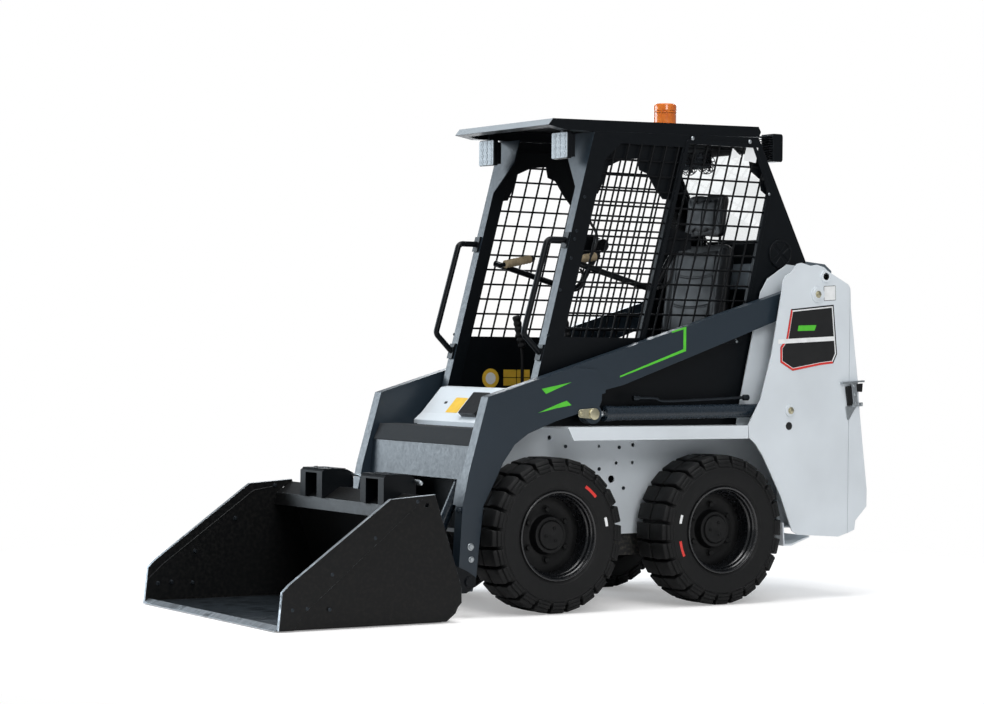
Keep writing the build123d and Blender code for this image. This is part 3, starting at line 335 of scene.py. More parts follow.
def grid(points, wrap_rows=False, wrap_columns=False, capped=False):
    """Quads over a (rows, columns, 3) array; a wrapped direction joins its last line to its first.

    Capped closes the first and the last row with one flat face each.
    """
    rows, columns = points.shape[:2]
    index = np.arange(rows * columns).reshape(rows, columns)
    down = np.vstack([index, index[:1]]) if wrap_rows else index
    both = np.hstack([down, down[:, :1]]) if wrap_columns else down
    quads = np.stack([both[:-1, :-1], both[:-1, 1:], both[1:, 1:], both[1:, :-1]], axis=-1).reshape(-1, 4)
    faces = quads.tolist()
    if capped:
        faces += [index[0][::-1].tolist(), index[-1].tolist()]
    return points.reshape(-1, 3), faces


def joined(shells):
    """Several surfaces as one: points stacked, face numbers shifted by the points before them."""
    points = np.vstack([p for p, f in shells])
    starts = np.cumsum([0] + [len(p) for p, f in shells[:-1]])
    faces = [[i + int(start) for i in face] for (p, f), start in zip(shells, starts) for face in f]
    return points, faces


def smooth_line(points, steps):
    """Catmull-Rom curve through the points: each span is the cubic whose end slopes are half the neighbours' gap."""
    p = np.asarray(points, float)
    padded = np.vstack([2 * p[0] - p[1], p, 2 * p[-1] - p[-2]])
    t = np.linspace(0, 1, steps, endpoint=False)[None, :, None]
    a, b, c, d = (padded[i:len(p) - 1 + i, None, :] for i in range(4))
    spans = 0.5 * (2 * b + (c - a) * t + (2 * a - 5 * b + 4 * c - d) * t ** 2 + (3 * b - a - 3 * c + d) * t ** 3)
    return np.vstack([spans.reshape(-1, p.shape[1]), p[-1:]])


def at(x, y, z):
    """A point in millimetres, its y counted from the front axle's line, as metres in the frame."""
    return np.array([x, y, z], float) * MM + (0, AXLE_SHIFT, 0)


def from_side(points):
    """(y, z) corners in millimetres, y counted from the front axle's line, as metres in the frame."""
    return np.asarray(points, float) * MM + (AXLE_SHIFT, 0)


def unit(vectors):
    """The vectors scaled to a length of one."""
    return vectors / np.linalg.norm(vectors, axis=-1, keepdims=True)


def tube(path, radius, up=(1.0, 0.0, 0.0), sides=16):
    """A circle of that radius carried along the path, square to its tangent, with flat ends.

    up is a direction that the path never runs along; it fixes the circle's turn.
    """
    path = np.asarray(path, float)
    tangent = unit(np.gradient(path, axis=0))
    side = unit(np.cross(tangent, np.asarray(up, float)))
    lift = np.cross(side, tangent)
    turn = np.linspace(0, 2 * np.pi, sides, endpoint=False)
    ring = np.cos(turn)[None, :, None] * side[:, None, :] + np.sin(turn)[None, :, None] * lift[:, None, :]
    radii = np.broadcast_to(np.asarray(radius, float), (len(path),))[:, None, None]
    return grid(path[:, None, :] + radii * ring, wrap_columns=True, capped=True)


def turned(profile, centre, axis=(1.0, 0.0, 0.0), steps=64, ring=False):
    """A profile of (distance along the axis, radius) turned once round the axis through the centre.

    A ring's profile is a closed section; otherwise its two ends are closed with flat faces.
    """
    profile = np.asarray(profile, float)
    along = unit(np.asarray(axis, float))
    seed = np.array([0.0, 0.0, 1.0]) if abs(along[2]) < 0.9 else np.array([0.0, 1.0, 0.0])
    first = unit(np.cross(seed, along))
    second = np.cross(along, first)
    turn = np.linspace(0, 2 * np.pi, steps, endpoint=False)
    circle = np.cos(turn)[:, None] * first + np.sin(turn)[:, None] * second
    points = np.asarray(centre) + profile[:, None, :1] * along + profile[:, None, 1:] * circle
    return grid(points, wrap_rows=ring, wrap_columns=True, capped=not ring)


def inset(outline, distance):
    """The outline moved inwards: each corner goes along the sum of its two sides' inward normals."""
    p = np.asarray(outline, float)
    ahead = unit(np.roll(p, -1, axis=0) - p)
    turn = np.sign(np.sum(p[:, 0] * np.roll(p[:, 1], -1) - p[:, 1] * np.roll(p[:, 0], -1)))
    normal = turn * np.stack([-ahead[:, 1], ahead[:, 0]], axis=1)
    both = normal + np.roll(normal, 1, axis=0)
    lean = 1 + np.sum(normal * np.roll(normal, 1, axis=0), axis=1, keepdims=True)
    return p + distance * both / np.maximum(lean, 0.3)


def rounded(outline, radius, steps=4):
    """The outline with each corner swept by a quadratic curve between points a radius along its two sides."""
    p = np.asarray(outline, float)
    back, ahead = np.roll(p, 1, axis=0) - p, np.roll(p, -1, axis=0) - p
    reach = np.minimum(np.linalg.norm(back, axis=1), np.linalg.norm(ahead, axis=1)) * 0.45
    reach = np.minimum(reach, radius)[:, None]
    a, b = (p + unit(back) * reach)[:, None], (p + unit(ahead) * reach)[:, None]
    t = np.linspace(0, 1, steps + 1)[None, :, None]
    return ((1 - t) ** 2 * a + 2 * t * (1 - t) * p[:, None] + t ** 2 * b).reshape(-1, 2)


def pressed(outline, low, high, axis=0, rim=0.0):
    """A flat outline carried between two levels of one axis; a rim slopes both faces' edges by its width."""
    flat = np.asarray(outline, float)
    levels = [(flat, low), (flat, high)]
    if rim:
        levels = [(inset(flat, rim), low), (flat, low + rim), (flat, high - rim), (inset(flat, rim), high)]
    rows = np.stack([np.insert(shape, axis, level, axis=1) for shape, level in levels])
    return grid(rows, wrap_columns=True, capped=True)


def laid(shell, origin, right, up):
    """A shell made flat at zero, carried to a plane: x goes along right, y along up and z out of the plane."""
    points, faces = shell
    right, up = unit(np.asarray(right, float)), unit(np.asarray(up, float))
    return points @ np.stack([right, up, np.cross(right, up)]) + np.asarray(origin), faces


def side_plate(corners, low, high, rim=0.0, radius=0.0):
    """A (y, z) outline carried across from low to high, with eased rims and rounded corners, all in millimetres."""
    outline = from_side(corners)
    if radius:
        outline = rounded(outline, radius * MM)
    return pressed(outline, low * MM, high * MM, rim=rim * MM)


def spun(profile, centre, axis=OUT, steps=64, ring=False):
    """A turned surface whose profile is in millimetres."""
    return turned(np.array(profile) * MM, centre, axis, steps, ring)


def mirrored(shell):
    """The shell on the machine's other side."""
    points, faces = shell
    return points * (-1, 1, 1), [face[::-1] for face in faces]


def hex_bolt(centre, direction, across, height):
    """A round washer and on it a six-sided head with a chamfered crown, sizes in millimetres."""
    half, height = across / 2 * MM, height * MM
    washer = turned([(0, half * 1.45), (height * 0.18, half * 1.45), (height * 0.24, half * 1.35)], centre, direction,
                    20)
    head = turned([(height * 0.2, half * 1.15), (height * 0.85, half * 1.15), (height, half * 0.95)], centre,
                  direction, 6)
    return joined([washer, head])


def domed(centre, direction, radius, height, steps=16):
    """A low dome in millimetres: about the height times the root of one less the squared radius, on a short edge."""
    r = radius * np.array([1.0, 1.0, 0.86, 0.6, 0.3, 0.05])
    h = height * np.array([0.0, 0.25, 0.62, 0.86, 0.97, 1.0])
    return spun(np.stack([h, r], axis=1), centre, direction, steps)


def socket_screw(centre, direction, radius, height):
    """A round head with a sunk socket, in millimetres: it rises over the edge, runs in and drops in the middle."""
    profile = [(0, radius), (height * 0.8, radius), (height, radius * 0.85), (height, radius * 0.5),
               (height * 0.4, radius * 0.45), (height * 0.35, 0.02 * radius)]
    return spun(profile, centre, direction, 18)


def linked(name, data):
    """An object that shows the data, put into the scene."""
    thing = bpy.data.objects.new(name, data)
    bpy.context.scene.collection.objects.link(thing)
    return thing


def loose(shell, name="loose"):
    """A plain object made from a shell."""
    points, faces = shell
    mesh = bpy.data.meshes.new(name)
    mesh.from_pydata(points.tolist(), [], faces)
    mesh.update()
    return linked(name, mesh)


def piece(name, shells, finish, body="chassis", replaces=(), slot=None, crease=35.0):
    """Makes the mesh, shades it smooth up to the crease angle, gives its finish and sets it on its body.

    slot is not used.
    """
    points, faces = joined(shells) if isinstance(shells, list) else shells
    thing = loose((points, faces), name)
    mesh = thing.data
    outward(mesh)
    mesh.shade_smooth()
    mesh.set_sharp_from_angle(angle=math.radians(crease))
    mesh.materials.append(finish)
    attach(thing, body)
    if replaces:
        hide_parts(*replaces)
    return thing


def pair(name, shells, *rest, **keys):
    """A piece of the shells and their mirror images."""
    return piece(name, list(shells) + [mirrored(shell) for shell in shells], *rest, **keys)


def outward(mesh):
    """Turns every closed shell's faces outwards."""
    work = bmesh.new()
    work.from_mesh(mesh)
    bmesh.ops.recalc_face_normals(work, faces=work.faces)
    work.to_mesh(mesh)
    work.free()


# Tyres and rims

TYRE_R = 295 * MM
LUG_COUNT = 24
LUG_HALF_ARC = 31.5 * MM


def carcass():
    """The casing's section (across, radius): bead ring, smooth wall with one moulded line, and the tread's base."""
    wall = smooth_line([(80, 160), (86, 169), (91, 177), (95, 188), (98, 205), (99, 222), (98.5, 238), (96, 250),
                        (88, 262), (72, 270), (50, 272), (0, 273)], 8) * MM
    line = 2.0 * MM * np.exp(-((wall[:, 1] - 245 * MM) / (1.5 * MM)) ** 2)
    line += 1.4 * MM * np.exp(-((wall[:, 1] - 183 * MM) / (1.6 * MM)) ** 2)
    outer = np.stack([wall[:, 0] + line, wall[:, 1]], axis=1)
    inner = outer[::-1][1:] * (-1, 1)
    seat = np.array([(-80, 158.5), (80, 158.5)]) * MM
    return np.vstack([outer, inner, seat])


def tread_block():
    """The block's section (across, radius): flat top, rolled edge, and two ledges down the shoulder."""
    return np.array([(5, 262), (5, 291.5), (7.5, 294.6), (42, 295), (76, 294.4), (84, 292.5), (87.5, 288.5),
                     (90, 280.5), (88.5, 279), (89, 277), (95, 275.5), (97, 273.5), (98.5, 265.5), (96.5, 264),
                     (97, 262.4), (99, 261), (99.8, 259), (99.8, 253), (97, 250.5), (90, 251), (60, 258),]) * MM


def lugs(centre):
    """Two rows of shoulder blocks with narrow grooves between them.

    A block is its section carried along the tread's arc: the radius is drawn in a little at both ends, and the
    arc position bends by the square of the distance from the middle of the tread.
    """
    section = tread_block()
    along = np.array([-1.0, -0.95, -0.88, 0.88, 0.95, 1.0])
    drawn = np.array([3.4, 1.1, 0.0, 0.0, 1.1, 3.4]) * MM
    reach = np.clip(section[:, 0] / (100 * MM), 0, 1)
    bend = 15 * MM * (reach - 0.55) ** 2
    middle = section.mean(axis=0)
    inward = unit(middle - section)
    shells = []
    for row in (1, -1):
        turn = np.arange(LUG_COUNT) * 2 * np.pi / LUG_COUNT
        shape = section[None] + drawn[:, None, None] * inward[None]
        arc = along[:, None] * LUG_HALF_ARC + bend[None]
        angle = turn[:, None, None] + arc[None] / TYRE_R
        x = np.broadcast_to(row * shape[None, ..., 0], angle.shape)
        radius = shape[None, ..., 1]
        blocks = np.stack([x, -radius * np.sin(angle), radius * np.cos(angle)], axis=-1) + np.asarray(centre)
        shells += [grid(block, wrap_columns=True, capped=True) for block in blocks]
    return joined(shells)


def rim_section():
    """Rolled lips and drop centre as (across, radius), a closed ring."""
    return np.array([
        (84, 158), (86.5, 164), (88, 168), (90.5, 170.5), (93, 170), (94, 167.5), (93, 163), (88, 160), (84, 158.6),
        (81, 155.5), (77, 153), (70, 152.4), (66, 150), (62, 146), (56, 144.5), (24, 144), (6, 143), (-9, 143),
        (-9, 146), (-54, 147), (-82, 156), (-87, 158), (-93, 166), (-90, 170.5), (-86.5, 164), (-84, 158),
    ]) * MM


def hub_section():
    """Wheel disc, hub drum with its cap, and the shaft, as (across, radius)."""
    return np.array([
        (-9, 143.5), (2, 143.5), (3, 133), (3, 120), (1, 112), (1, 84), (4, 77), (10, 73), (33, 70.5), (37, 68.5),
        (38, 64), (38, 58), (36.5, 56.5), (38.5, 55), (44, 53.5), (46.5, 50.5), (46.5, 12), (45.5, 8), (45.5, 0.5),
        (-128, 0.5), (-128, 29.9), (-30, 29.9), (-30, 69), (-9, 69),
    ]) * MM


def sidewall_mark(centre, side, turn, width):
    """A raised blank bar on the tyre's wall, 12 mm tall, bent round the axle at a radius of 217 mm."""
    arc = np.linspace(-width / 2, width / 2, 9) / (217 * MM) + turn
    section = np.array([(97.0, 211), (99.7, 211.5), (99.9, 217), (99.7, 222.5), (97.0, 223)]) * MM
    radius, x = section[:, 1], side * section[:, 0]
    rows = np.stack([np.broadcast_to(x, (9, 5)), -radius * np.sin(arc)[:, None], radius * np.cos(arc)[:, None]],
                    axis=-1)
    return grid(rows + np.asarray(centre), wrap_columns=True, capped=True)


WHEELS = {"fl": 1, "fr": -1, "rl": 1, "rr": -1}
MARK_TURNS = {"fl": (-0.70, -1.345), "rl": (1.884, 1.346), "fr": (-0.70, -1.345), "rr": (1.884, 1.346)}
for corner, side in WHEELS.items():
    body = "wheel_" + corner
    hub = np.array(JOINTS[body + "_spin"]["pos_m"])
    casing = turned(carcass(), hub, (side, 0, 0), 144, ring=True)
    piece("tyre_casing_" + corner, [casing, lugs(hub)], TYRE, body, ["tyre_" + corner], crease=30)
    nuts = [hex_bolt(hub + np.array([side * 1 * MM, 96 * MM * math.sin(a), 96 * MM * math.cos(a)]), (side, 0, 0), 19,
                     14) for a in np.arange(6) * math.pi / 3]
    drain = [socket_screw(hub + np.array([side * 46.5 * MM, 27 * MM * math.sin(a), 27 * MM * math.cos(a)]),
                          (side, 0, 0), 6, 4) for a in (0.4, 2.5, 4.6)]
    piece("rim_barrel_" + corner, turned(rim_section(), hub, (side, 0, 0), 120, ring=True), RIM_COAT, body,
          ["rim_" + corner], crease=32)
    piece("rim_hub_" + corner, [turned(hub_section(), hub, (side, 0, 0), 96, ring=True)] + nuts + drain, HUB_COAT,
          body, ["rim_" + corner], crease=32)
    red_turn, white_turn = MARK_TURNS[corner]
    piece("tyre_red_mark_" + corner, sidewall_mark(hub, side, red_turn, 62 * MM), RED, body, slot="tyre_rubber")
    piece("tyre_pale_mark_" + corner, sidewall_mark(hub, side, white_turn, 34 * MM), PALE, body, slot="tyre_rubber")


# Cage: round welded wires in the front and rear side windows, on both sides

def crossings(start, direction, outline):
    """Where the line start + t * direction cuts a closed outline, as rising values of t.

    t is the cross product of (corner - start) with the side, over that of the direction with the side.
    """
    corner = np.asarray(outline, float)
    side = np.roll(corner, -1, axis=0) - corner
    gap = corner - np.asarray(start, float)
    across = direction[0] * side[:, 1] - direction[1] * side[:, 0]
    across = np.where(np.abs(across) < 1e-9, 1e-9, across)
    t = (gap[:, 0] * side[:, 1] - gap[:, 1] * side[:, 0]) / across
    u = (gap[:, 0] * direction[1] - gap[:, 1] * direction[0]) / across
    return np.sort(t[(u >= 0) & (u < 1)])


def wires(outline, starts, direction, place):
    """One round wire for each stretch of each line inside the outline; place turns (u, v, 1) rows into points."""
    shells = []
    for start in starts:
        cuts = crossings(start, direction, outline)
        for low, high in zip(cuts[::2], cuts[1::2]):
            ends = np.asarray(start) + np.array([[low - 3 * MM], [high + 3 * MM]]) * np.asarray(direction)
            shells.append(tube(place(ends), WIRE_R, up=(0.31, 0.9, 0.3), sides=10))
    return shells


def pillar_y(z):
    """Where the cab's leaning front edge is at height z, in millimetres."""
    return -60 + (z - 703) * PILLAR_SLOPE


def post_y(z):
    """Middle of the leaning post between the side windows at height z, in millimetres."""
    return 474 + (z - 1043) * 0.266


WIRE_R = 4.0 * MM
WIRE_PITCH = 60
PILLAR_SLOPE = 0.2637
FRONT_WINDOW = [(pillar_y(1045) + 76, 1045), (post_y(1045) - 13, 1045), (post_y(1800) - 13, 1800),
                (pillar_y(1800) + 136, 1800), (pillar_y(1730) + 76, 1730)]
REAR_WINDOW = [(post_y(1045) + 13, 1045), (945, 1045), (1090, 1640), (1010, 1815), (post_y(1815) + 13, 1815)]

window_wires = []
for window in (FRONT_WINDOW, REAR_WINDOW):
    outline = from_side(window)
    low_z, high_z = min(z for y, z in window), max(z for y, z in window)
    low_y, high_y = min(y for y, z in window), max(y for y, z in window)
    levels = from_side([(0, z + 2.5) for z in np.arange(low_z + WIRE_PITCH / 2, high_z - 5, WIRE_PITCH)])
    run = PILLAR_SLOPE * (high_z - low_z + 20)
    leaning = from_side([(y + 2.5, low_z - 10) for y in np.arange(low_y - run, high_y, WIRE_PITCH)])
    window_wires += wires(outline, levels, (1.0, 0.0), lambda ends: np.insert(ends, 0, 332.2 * MM, axis=1))
    window_wires += wires(outline, leaning, unit(np.array([PILLAR_SLOPE, 1.0])),
                          lambda ends: np.insert(ends, 0, 338.6 * MM, axis=1))
piece("window_wires_left", window_wires, WIRE, "chassis", ["mesh_left"], crease=40)
piece("window_wires_right", [mirrored(shell) for shell in window_wires], WIRE, "chassis", ["mesh_right"], crease=40)

BACK_TOP = at(0, 1040, 1858)
BACK_DOWN = unit(np.array([0.0, 250.0, -492.0]))
back_window = np.array([(-270, 54), (270, 54), (270, 458), (-270, 458)]) * MM


# Cab: bolts, screws, cap, lamps, beacon and fans

frame_bolts = [domed(at(346, y, z), OUT, 8.5, 5.5) for y, z in ((706, 1837), (992, 1838))]
frame_bolts += [domed(at(346, y, z), OUT, 6, 4) for y, z in ((937, 1036), (712, 1034), (486, 1036), (1093, 1632))]
pair("window_frame_bolts", frame_bolts, BOLT)
pillar_dots = [socket_screw(at(341, y, z), OUT, 6.5, 3) for y, z in ((195, 1585), (160, 1453), (151, 1422),
                                                                     (136, 1348), (87, 1225), (34, 1052))]
pair("pillar_screws", pillar_dots, DARK_BOLT)

CAP = (1155.0, 1393.0)
cap_ring = spun([(4.8, 57), (7, 57), (8.2, 55.5), (8.2, 51), (7, 49.5), (4.8, 49.5)], at(341, *CAP), OUT, 64, ring=True)
cap_fields = []
for quarter in range(4):
    turn = quarter * math.pi / 2 + math.pi / 4 + np.linspace(-0.56, 0.56, 9)
    rim_line = np.stack([np.cos(turn), np.sin(turn)], axis=1) * 47
    nose = np.array([[math.cos(turn[4]), math.sin(turn[4])]]) * 9
    shape = np.vstack([rim_line, nose]) @ np.array([[0.7071, 0.7071], [-0.7071, 0.7071]])
    cap_fields.append(side_plate(shape + CAP, 345.8, 348.4, 0.9))
pair("round_cap_relief", [cap_ring] + cap_fields, BLACK, crease=40)

LAMP_HALF = np.array([56, 51.5]) * MM
lamp_centre = at(265, 125, 1784.5)


def lamp_rectangle(half, radius):
    """A rectangle with rounded corners about the middle of the lamp's face."""
    return rounded(np.array([(-1, -1), (1, -1), (1, 1), (-1, 1)]) * half, radius)


lamp_body = laid(pressed(lamp_rectangle(LAMP_HALF, 7 * MM), -24 * MM, -4 * MM, axis=2, rim=2 * MM), lamp_centre,
                 (1, 0, 0), UP)
lamp_fins = [laid(pressed(rounded(np.array([(x - 1.5, -44), (x + 1.5, -44), (x + 1.5, 44), (x - 1.5, 44)]) * MM,
                                  1 * MM), -46 * MM, -22 * MM, axis=2), lamp_centre, (1, 0, 0), UP)
             for x in np.arange(-42, 43, 12)]
lamp_bracket = [side_plate([(138, 1830), (150, 1830), (150, 1873), (138, 1873)], 255, 275, 1)]
pair("work_lamp_bodies", [lamp_body] + lamp_fins + lamp_bracket, BLACK, "chassis", ["work_lamps"])
cell_shells = [laid(pressed(lamp_rectangle(LAMP_HALF - 2 * MM, 6 * MM), -5 * MM, -1.5 * MM, axis=2, rim=1 * MM),
                    lamp_centre, (1, 0, 0), UP)]
for column in (-33, 0, 33):
    for row in (-36, -12, 12, 36):
        middle = lamp_centre + np.array([column * MM, 1.5 * MM, row * MM])
        cell_shells.append(spun([(-0.4, 11.4), (1.3, 11.2), (1.3, 9.8), (0.2, 5), (0.4, 3.4), (1.3, 1.6), (1.4, 0.1)],
                                middle, FRONT, 20))
pair("work_lamp_cells", cell_shells, LENS, "chassis", ["work_lamps"], crease=30)

rear_front = 1040 + 72
rear_box = side_plate([(rear_front + 16, 1766), (rear_front + 62, 1766), (rear_front + 67.5, 1774),
                       (rear_front + 67.5, 1872), (rear_front + 62, 1879.5), (rear_front + 16, 1879.5)], 246, 324, 2,
                      4)
rear_fins = [side_plate([(rear_front + 0.3, z), (rear_front + 18, z), (rear_front + 18, z + 4),
                         (rear_front + 0.3, z + 4)], 249, 321, 1, 1.6) for z in np.arange(1771, 1876, 9.6)]
rear_glass = side_plate([(rear_front + 66.5, 1774), (rear_front + 67.9, 1774), (rear_front + 67.9, 1872),
                         (rear_front + 66.5, 1872)], 252, 318)
arm_shells = [side_plate([(1048, 1862), (1130, 1862), (1130, 1869), (1048, 1869)], 276, 294, 1),
              socket_screw(at(285, 1079, 1869), UP, 8, 6)]
pair("rear_lamp_bodies", [rear_box] + rear_fins + arm_shells, BLACK, "chassis", ["rear_lamps"])
pair("rear_lamp_lenses", [rear_glass], LENS, "chassis", ["rear_lamps"])

BEACON_FOOT = at(0, 822, 1896.7)
beacon_lens = [(6, 45.8), (8, 47), (11, 47.2), (12.5, 46), (70, 45.6), (71, 47.2), (73.5, 47.4), (74.5, 46.4),
               (75.5, 45.2), (78, 45.2), (79, 46.6), (100, 46.2), (105, 44.5), (107.4, 40), (108, 0.3)]
piece("beacon_lens", spun(beacon_lens, BEACON_FOOT, UP, 64), AMBER, "chassis", ["beacon"], crease=25)
beacon_base = [(0.2, 49.8), (4, 49.8), (6, 48), (7.5, 44), (7.5, 0.3)]
piece("beacon_base", spun(beacon_base, BEACON_FOOT, UP, 64), KNOB, "chassis", ["beacon"])


def hoop(centre, axis, radius, thickness, steps=40):
    """A ring of round wire: a circle of points round the axis, swept by a small circle."""
    turn = np.linspace(0, 2 * np.pi, 9)[:-1]
    section = np.stack([np.sin(turn) * thickness, radius + np.cos(turn) * thickness], axis=1)
    return turned(section, centre, axis, steps, ring=True)


def cage_fan(centre, axis, radius, depth):
    """Guard of hoops and bent wires round three pitched blades, with the motor behind."""
    axis = unit(np.asarray(axis, float))
    across = unit(np.cross(axis, (0.0, 0.3, 1.0)))
    third = np.cross(axis, across)
    guard = [hoop(centre + axis * h * depth, axis, radius * r, 1.5 * MM)
             for h, r in ((-0.5, 0.9), (0, 1.0), (0.42, 0.9), (0.5, 0.62), (0.5, 0.3))]
    turn = np.arange(16) * np.pi / 8
    for a in turn:
        way = math.cos(a) * across + math.sin(a) * third
        path = [centre + axis * h * depth + way * radius * r for h, r in ((0.52, 0.16), (0.5, 0.62), (0.42, 0.9),
                                                                          (0, 1.0), (-0.42, 0.92), (-0.52, 0.3))]
        guard.append(tube(smooth_line(path, 3), 1.2 * MM, up=np.cross(axis, way), sides=6))
    blades = []
    for a in np.arange(3) * 2 * np.pi / 3:
        reach, chord = np.meshgrid(np.linspace(0.2, 0.82, 7), np.linspace(-1, 1, 5), indexing="ij")
        angle = a + chord * 0.48 * (0.6 + 0.6 * reach)
        height = chord * 0.2 * depth
        top = centre + radius * reach[..., None] * (np.cos(angle)[..., None] * across +
                                                    np.sin(angle)[..., None] * third)
        top = top + height[..., None] * axis
        blades.append(grid(np.concatenate([top, top[::-1] - axis * 1.6 * MM], axis=0), wrap_rows=True))
    motor = turned([(-0.62 * depth, radius * 0.24), (-0.6 * depth, radius * 0.34), (-0.1 * depth, radius * 0.34),
                    (-0.05 * depth, radius * 0.2), (0.3 * depth, radius * 0.2), (0.38 * depth, radius * 0.1)], centre,
                   axis, 24)
    return guard, blades + [motor]


guards, works = [], []
for x in (-60, 60):
    guard, work = cage_fan(at(x, 985, 1768), (0.0, -0.94, -0.34), 47 * MM, 36 * MM)
    guards += guard
    works += work
rail = side_plate([(990, 1745), (996, 1745), (996, 1885), (990, 1885)], -90, 90, 1)
piece("fan_guards", guards, DARK_BOLT, "chassis", ["fans"], "black_wire", 50)
piece("fan_works", works + [rail], KNOB, "chassis", ["fans"], crease=40)


# Cab: painted highlight on the pillar fronts, painted shade in their holes, visor face, corner plates, signs and the
# rear pane

lean = unit(np.array([0.0, PILLAR_SLOPE, 1.0]))


def on_pillar(outline, thickness):
    """A thin sheet on the leaning front of the left pillar, carrying its painted highlight: outline in (x, z)
    millimetres at the front face.
    """
    flat = np.asarray(outline, float)
    local = np.stack([flat[:, 0], (flat[:, 1] - 703) * math.hypot(1, PILLAR_SLOPE)], axis=1) * MM
    return laid(pressed(local, 0.1 * MM, thickness, axis=2), at(0, -60, 703), (1, 0, 0), lean)


# Painted highlight: the black pillar's leaning front is covered in the shinier, lighter slate paint, a lit copy of its
# own black, so that it reads as lit from the front.
lit_pillar_front = [(295.6, 712), (340.6, 712), (340.6, 1838), (190.3, 1838), (190.3, 1752), (294.6, 1627), (295.6, 1620)]
# Painted shade: black film discs stand for the dark inside of three holes in the pillar's front.
pillar_hole_shades = [laid(spun([(0.9, 5), (1.4, 4.6), (1.5, 0.1)], (0, 0, 0), UP, 14), at(x, pillar_y(z), z), (1, 0, 0),
                     lean) for x, z in ((325, 1512), (311, 1478), (322, 1448))]
pair("pillar_front_painted_highlight", [on_pillar(lit_pillar_front, 1.1 * MM)], SLATE)
pair("pillar_hole_painted_shade", pillar_hole_shades, BLACK_FILM, slot="black_paint")
visor = [laid(pressed(rounded(np.array([(-340.5, 0.6), (340.5, 0.6), (340.5, 32.6), (-340.5, 32.6)]) * MM, 2 * MM),
                      0.1 * MM, 1.2 * MM, axis=2, rim=0.4 * MM), at(0, 26, 1854), (1, 0, 0), (0, 21, 26))]
piece("visor_face", visor, SILVER)

window_corner = [(190, 1562), (216, 1594), (269, 1601), (300, 1658), (310, 1707), (384, 1739), (455, 1745),
                 (464, 1702), (502, 1689), (541, 1634), (579, 1592), (606, 1592), (664, 1806), (246, 1806)]
rear_corner = [(1002, 1818), (1008, 1752), (1016, 1721), (1062, 1692), (1068, 1647), (1094, 1630), (1104, 1650),
               (1024, 1824)]
corner_plates = [side_plate(shape, 321, 325, 0.8) for shape in (window_corner, rear_corner)]
pair("window_corner_plates", corner_plates, BLACK)
signs = [side_plate(shape, 342.8, 343.8, radius=4) for shape in ([(908, 1809), (896, 1765), (953, 1775)],
                                                                 [(979, 1822), (1037, 1816), (1025, 1754),
                                                                  (963, 1763)])]
piece("blank_window_signs", signs, PALE)

pane = laid(pressed(rounded(back_window, 14 * MM), -2.5 * MM, 2.5 * MM, axis=2, rim=1 * MM), BACK_TOP, OUT, BACK_DOWN)
pane_frame = []
for turn, (mid, half_width) in enumerate((((0, 58), 262), ((0, 454), 262), ((-266, 256), 194), ((266, 256), 194))):
    half = (half_width, 7) if turn < 2 else (7, half_width)
    bar = np.array([(-1, -1), (1, -1), (1, 1), (-1, 1)]) * half + mid
    pane_frame.append(laid(pressed(bar * MM, -4 * MM, 4.5 * MM, axis=2, rim=1 * MM), BACK_TOP, OUT, BACK_DOWN))
piece("rear_window_pane", pane, PANE, "chassis", ["mesh_rear"])
piece("rear_window_seal", pane_frame, KNOB, "chassis", ["mesh_rear"], "black_wire")


# Bucket, hooks and arms

BUCKET_OUT = 563
cutter_bolts = [(-1170, 77), (-1112, 80), (-1022, 73), (-1013, 196), (-840, 319), (-667, 445)]
flush_heads = [domed(at(BUCKET_OUT - 0.3, y, z), OUT, 7, 1.8) for y, z in cutter_bolts]
inner_nuts = [hex_bolt(at(547.2, y, z), (-1, 0, 0), 12, 9) for y, z in cutter_bolts]
cutter_seam = tube([at(547, y, z) for y, z in ((-1214, 94), (-1150, 150), (-760, 428), (-680, 440))], 2.2 * MM)
pair("cutter_bolts", flush_heads + inner_nuts, DARK_BOLT, "bucket")
pair("cutter_seams", [cutter_seam], BUCKET, "bucket")


def edge_strip(line, x_low, x_high, thickness):
    """A strip along an edge: the line and its copy pushed out square to it, closed into one band."""
    flat = np.asarray(line, float)
    along = unit(np.gradient(flat, axis=0))
    outside = flat + thickness * np.stack([-along[:, 1], along[:, 0]], axis=1)
    return side_plate(np.vstack([flat, outside[::-1]]), x_low, x_high)


cheek_edge = [(-1223, 6), (-1216, 73), (-1209, 140), (-1182, 166), (-980, 310.5), (-778, 455), (-684.5, 461.5),
              (-591, 468)]
pair("cheek_edges", [edge_strip(cheek_edge, 547.5, 562.6, 0.9)], LIP_STEEL, "bucket")
floor_wear = pressed(np.array([(-530, -1190), (530, -1190), (520, -700), (300, -610), (-300, -600),
                               (-520, -700)]) * MM + (0, AXLE_SHIFT), 13.1 * MM, 13.7 * MM, axis=2)
piece("bucket_floor_wear", floor_wear, PLATE_STEEL, "bucket")

hook_studs = [hex_bolt(at(x, -615, 526), UP, 13, 7) for x in (172, 214, 260, 302)]
pair("hook_studs", hook_studs, DARK_BOLT, "bucket")
hook_ribs = [pressed(np.array([(x - 2, -664), (x + 2, -664), (x + 2, -566), (x - 2, -566)]) * MM + (0, AXLE_SHIFT),
                     526 * MM, 530 * MM, axis=2) for x in np.arange(156, 322, 12.5)]
pair("hook_ribs", hook_ribs, BLACK, "bucket")
lock_bars = []
for shift in (0, -420):
    line = [at(168 + shift, -548, 521), at(251 + shift, -540, 507), at(325 + shift, -538, 505),
            at(352 + shift, -538, 500)]
    lock_bars.append(tube(smooth_line(line, 5), 5.5 * MM, up=(0, 0.2, 1.0)))
    lock_bars.append(spun([(0, 6), (4, 9), (30, 9), (34, 5)], at(338 + shift, -538, 502), (1, 0, -0.15), 20))
piece("lock_levers", lock_bars, BOLT, "bucket")

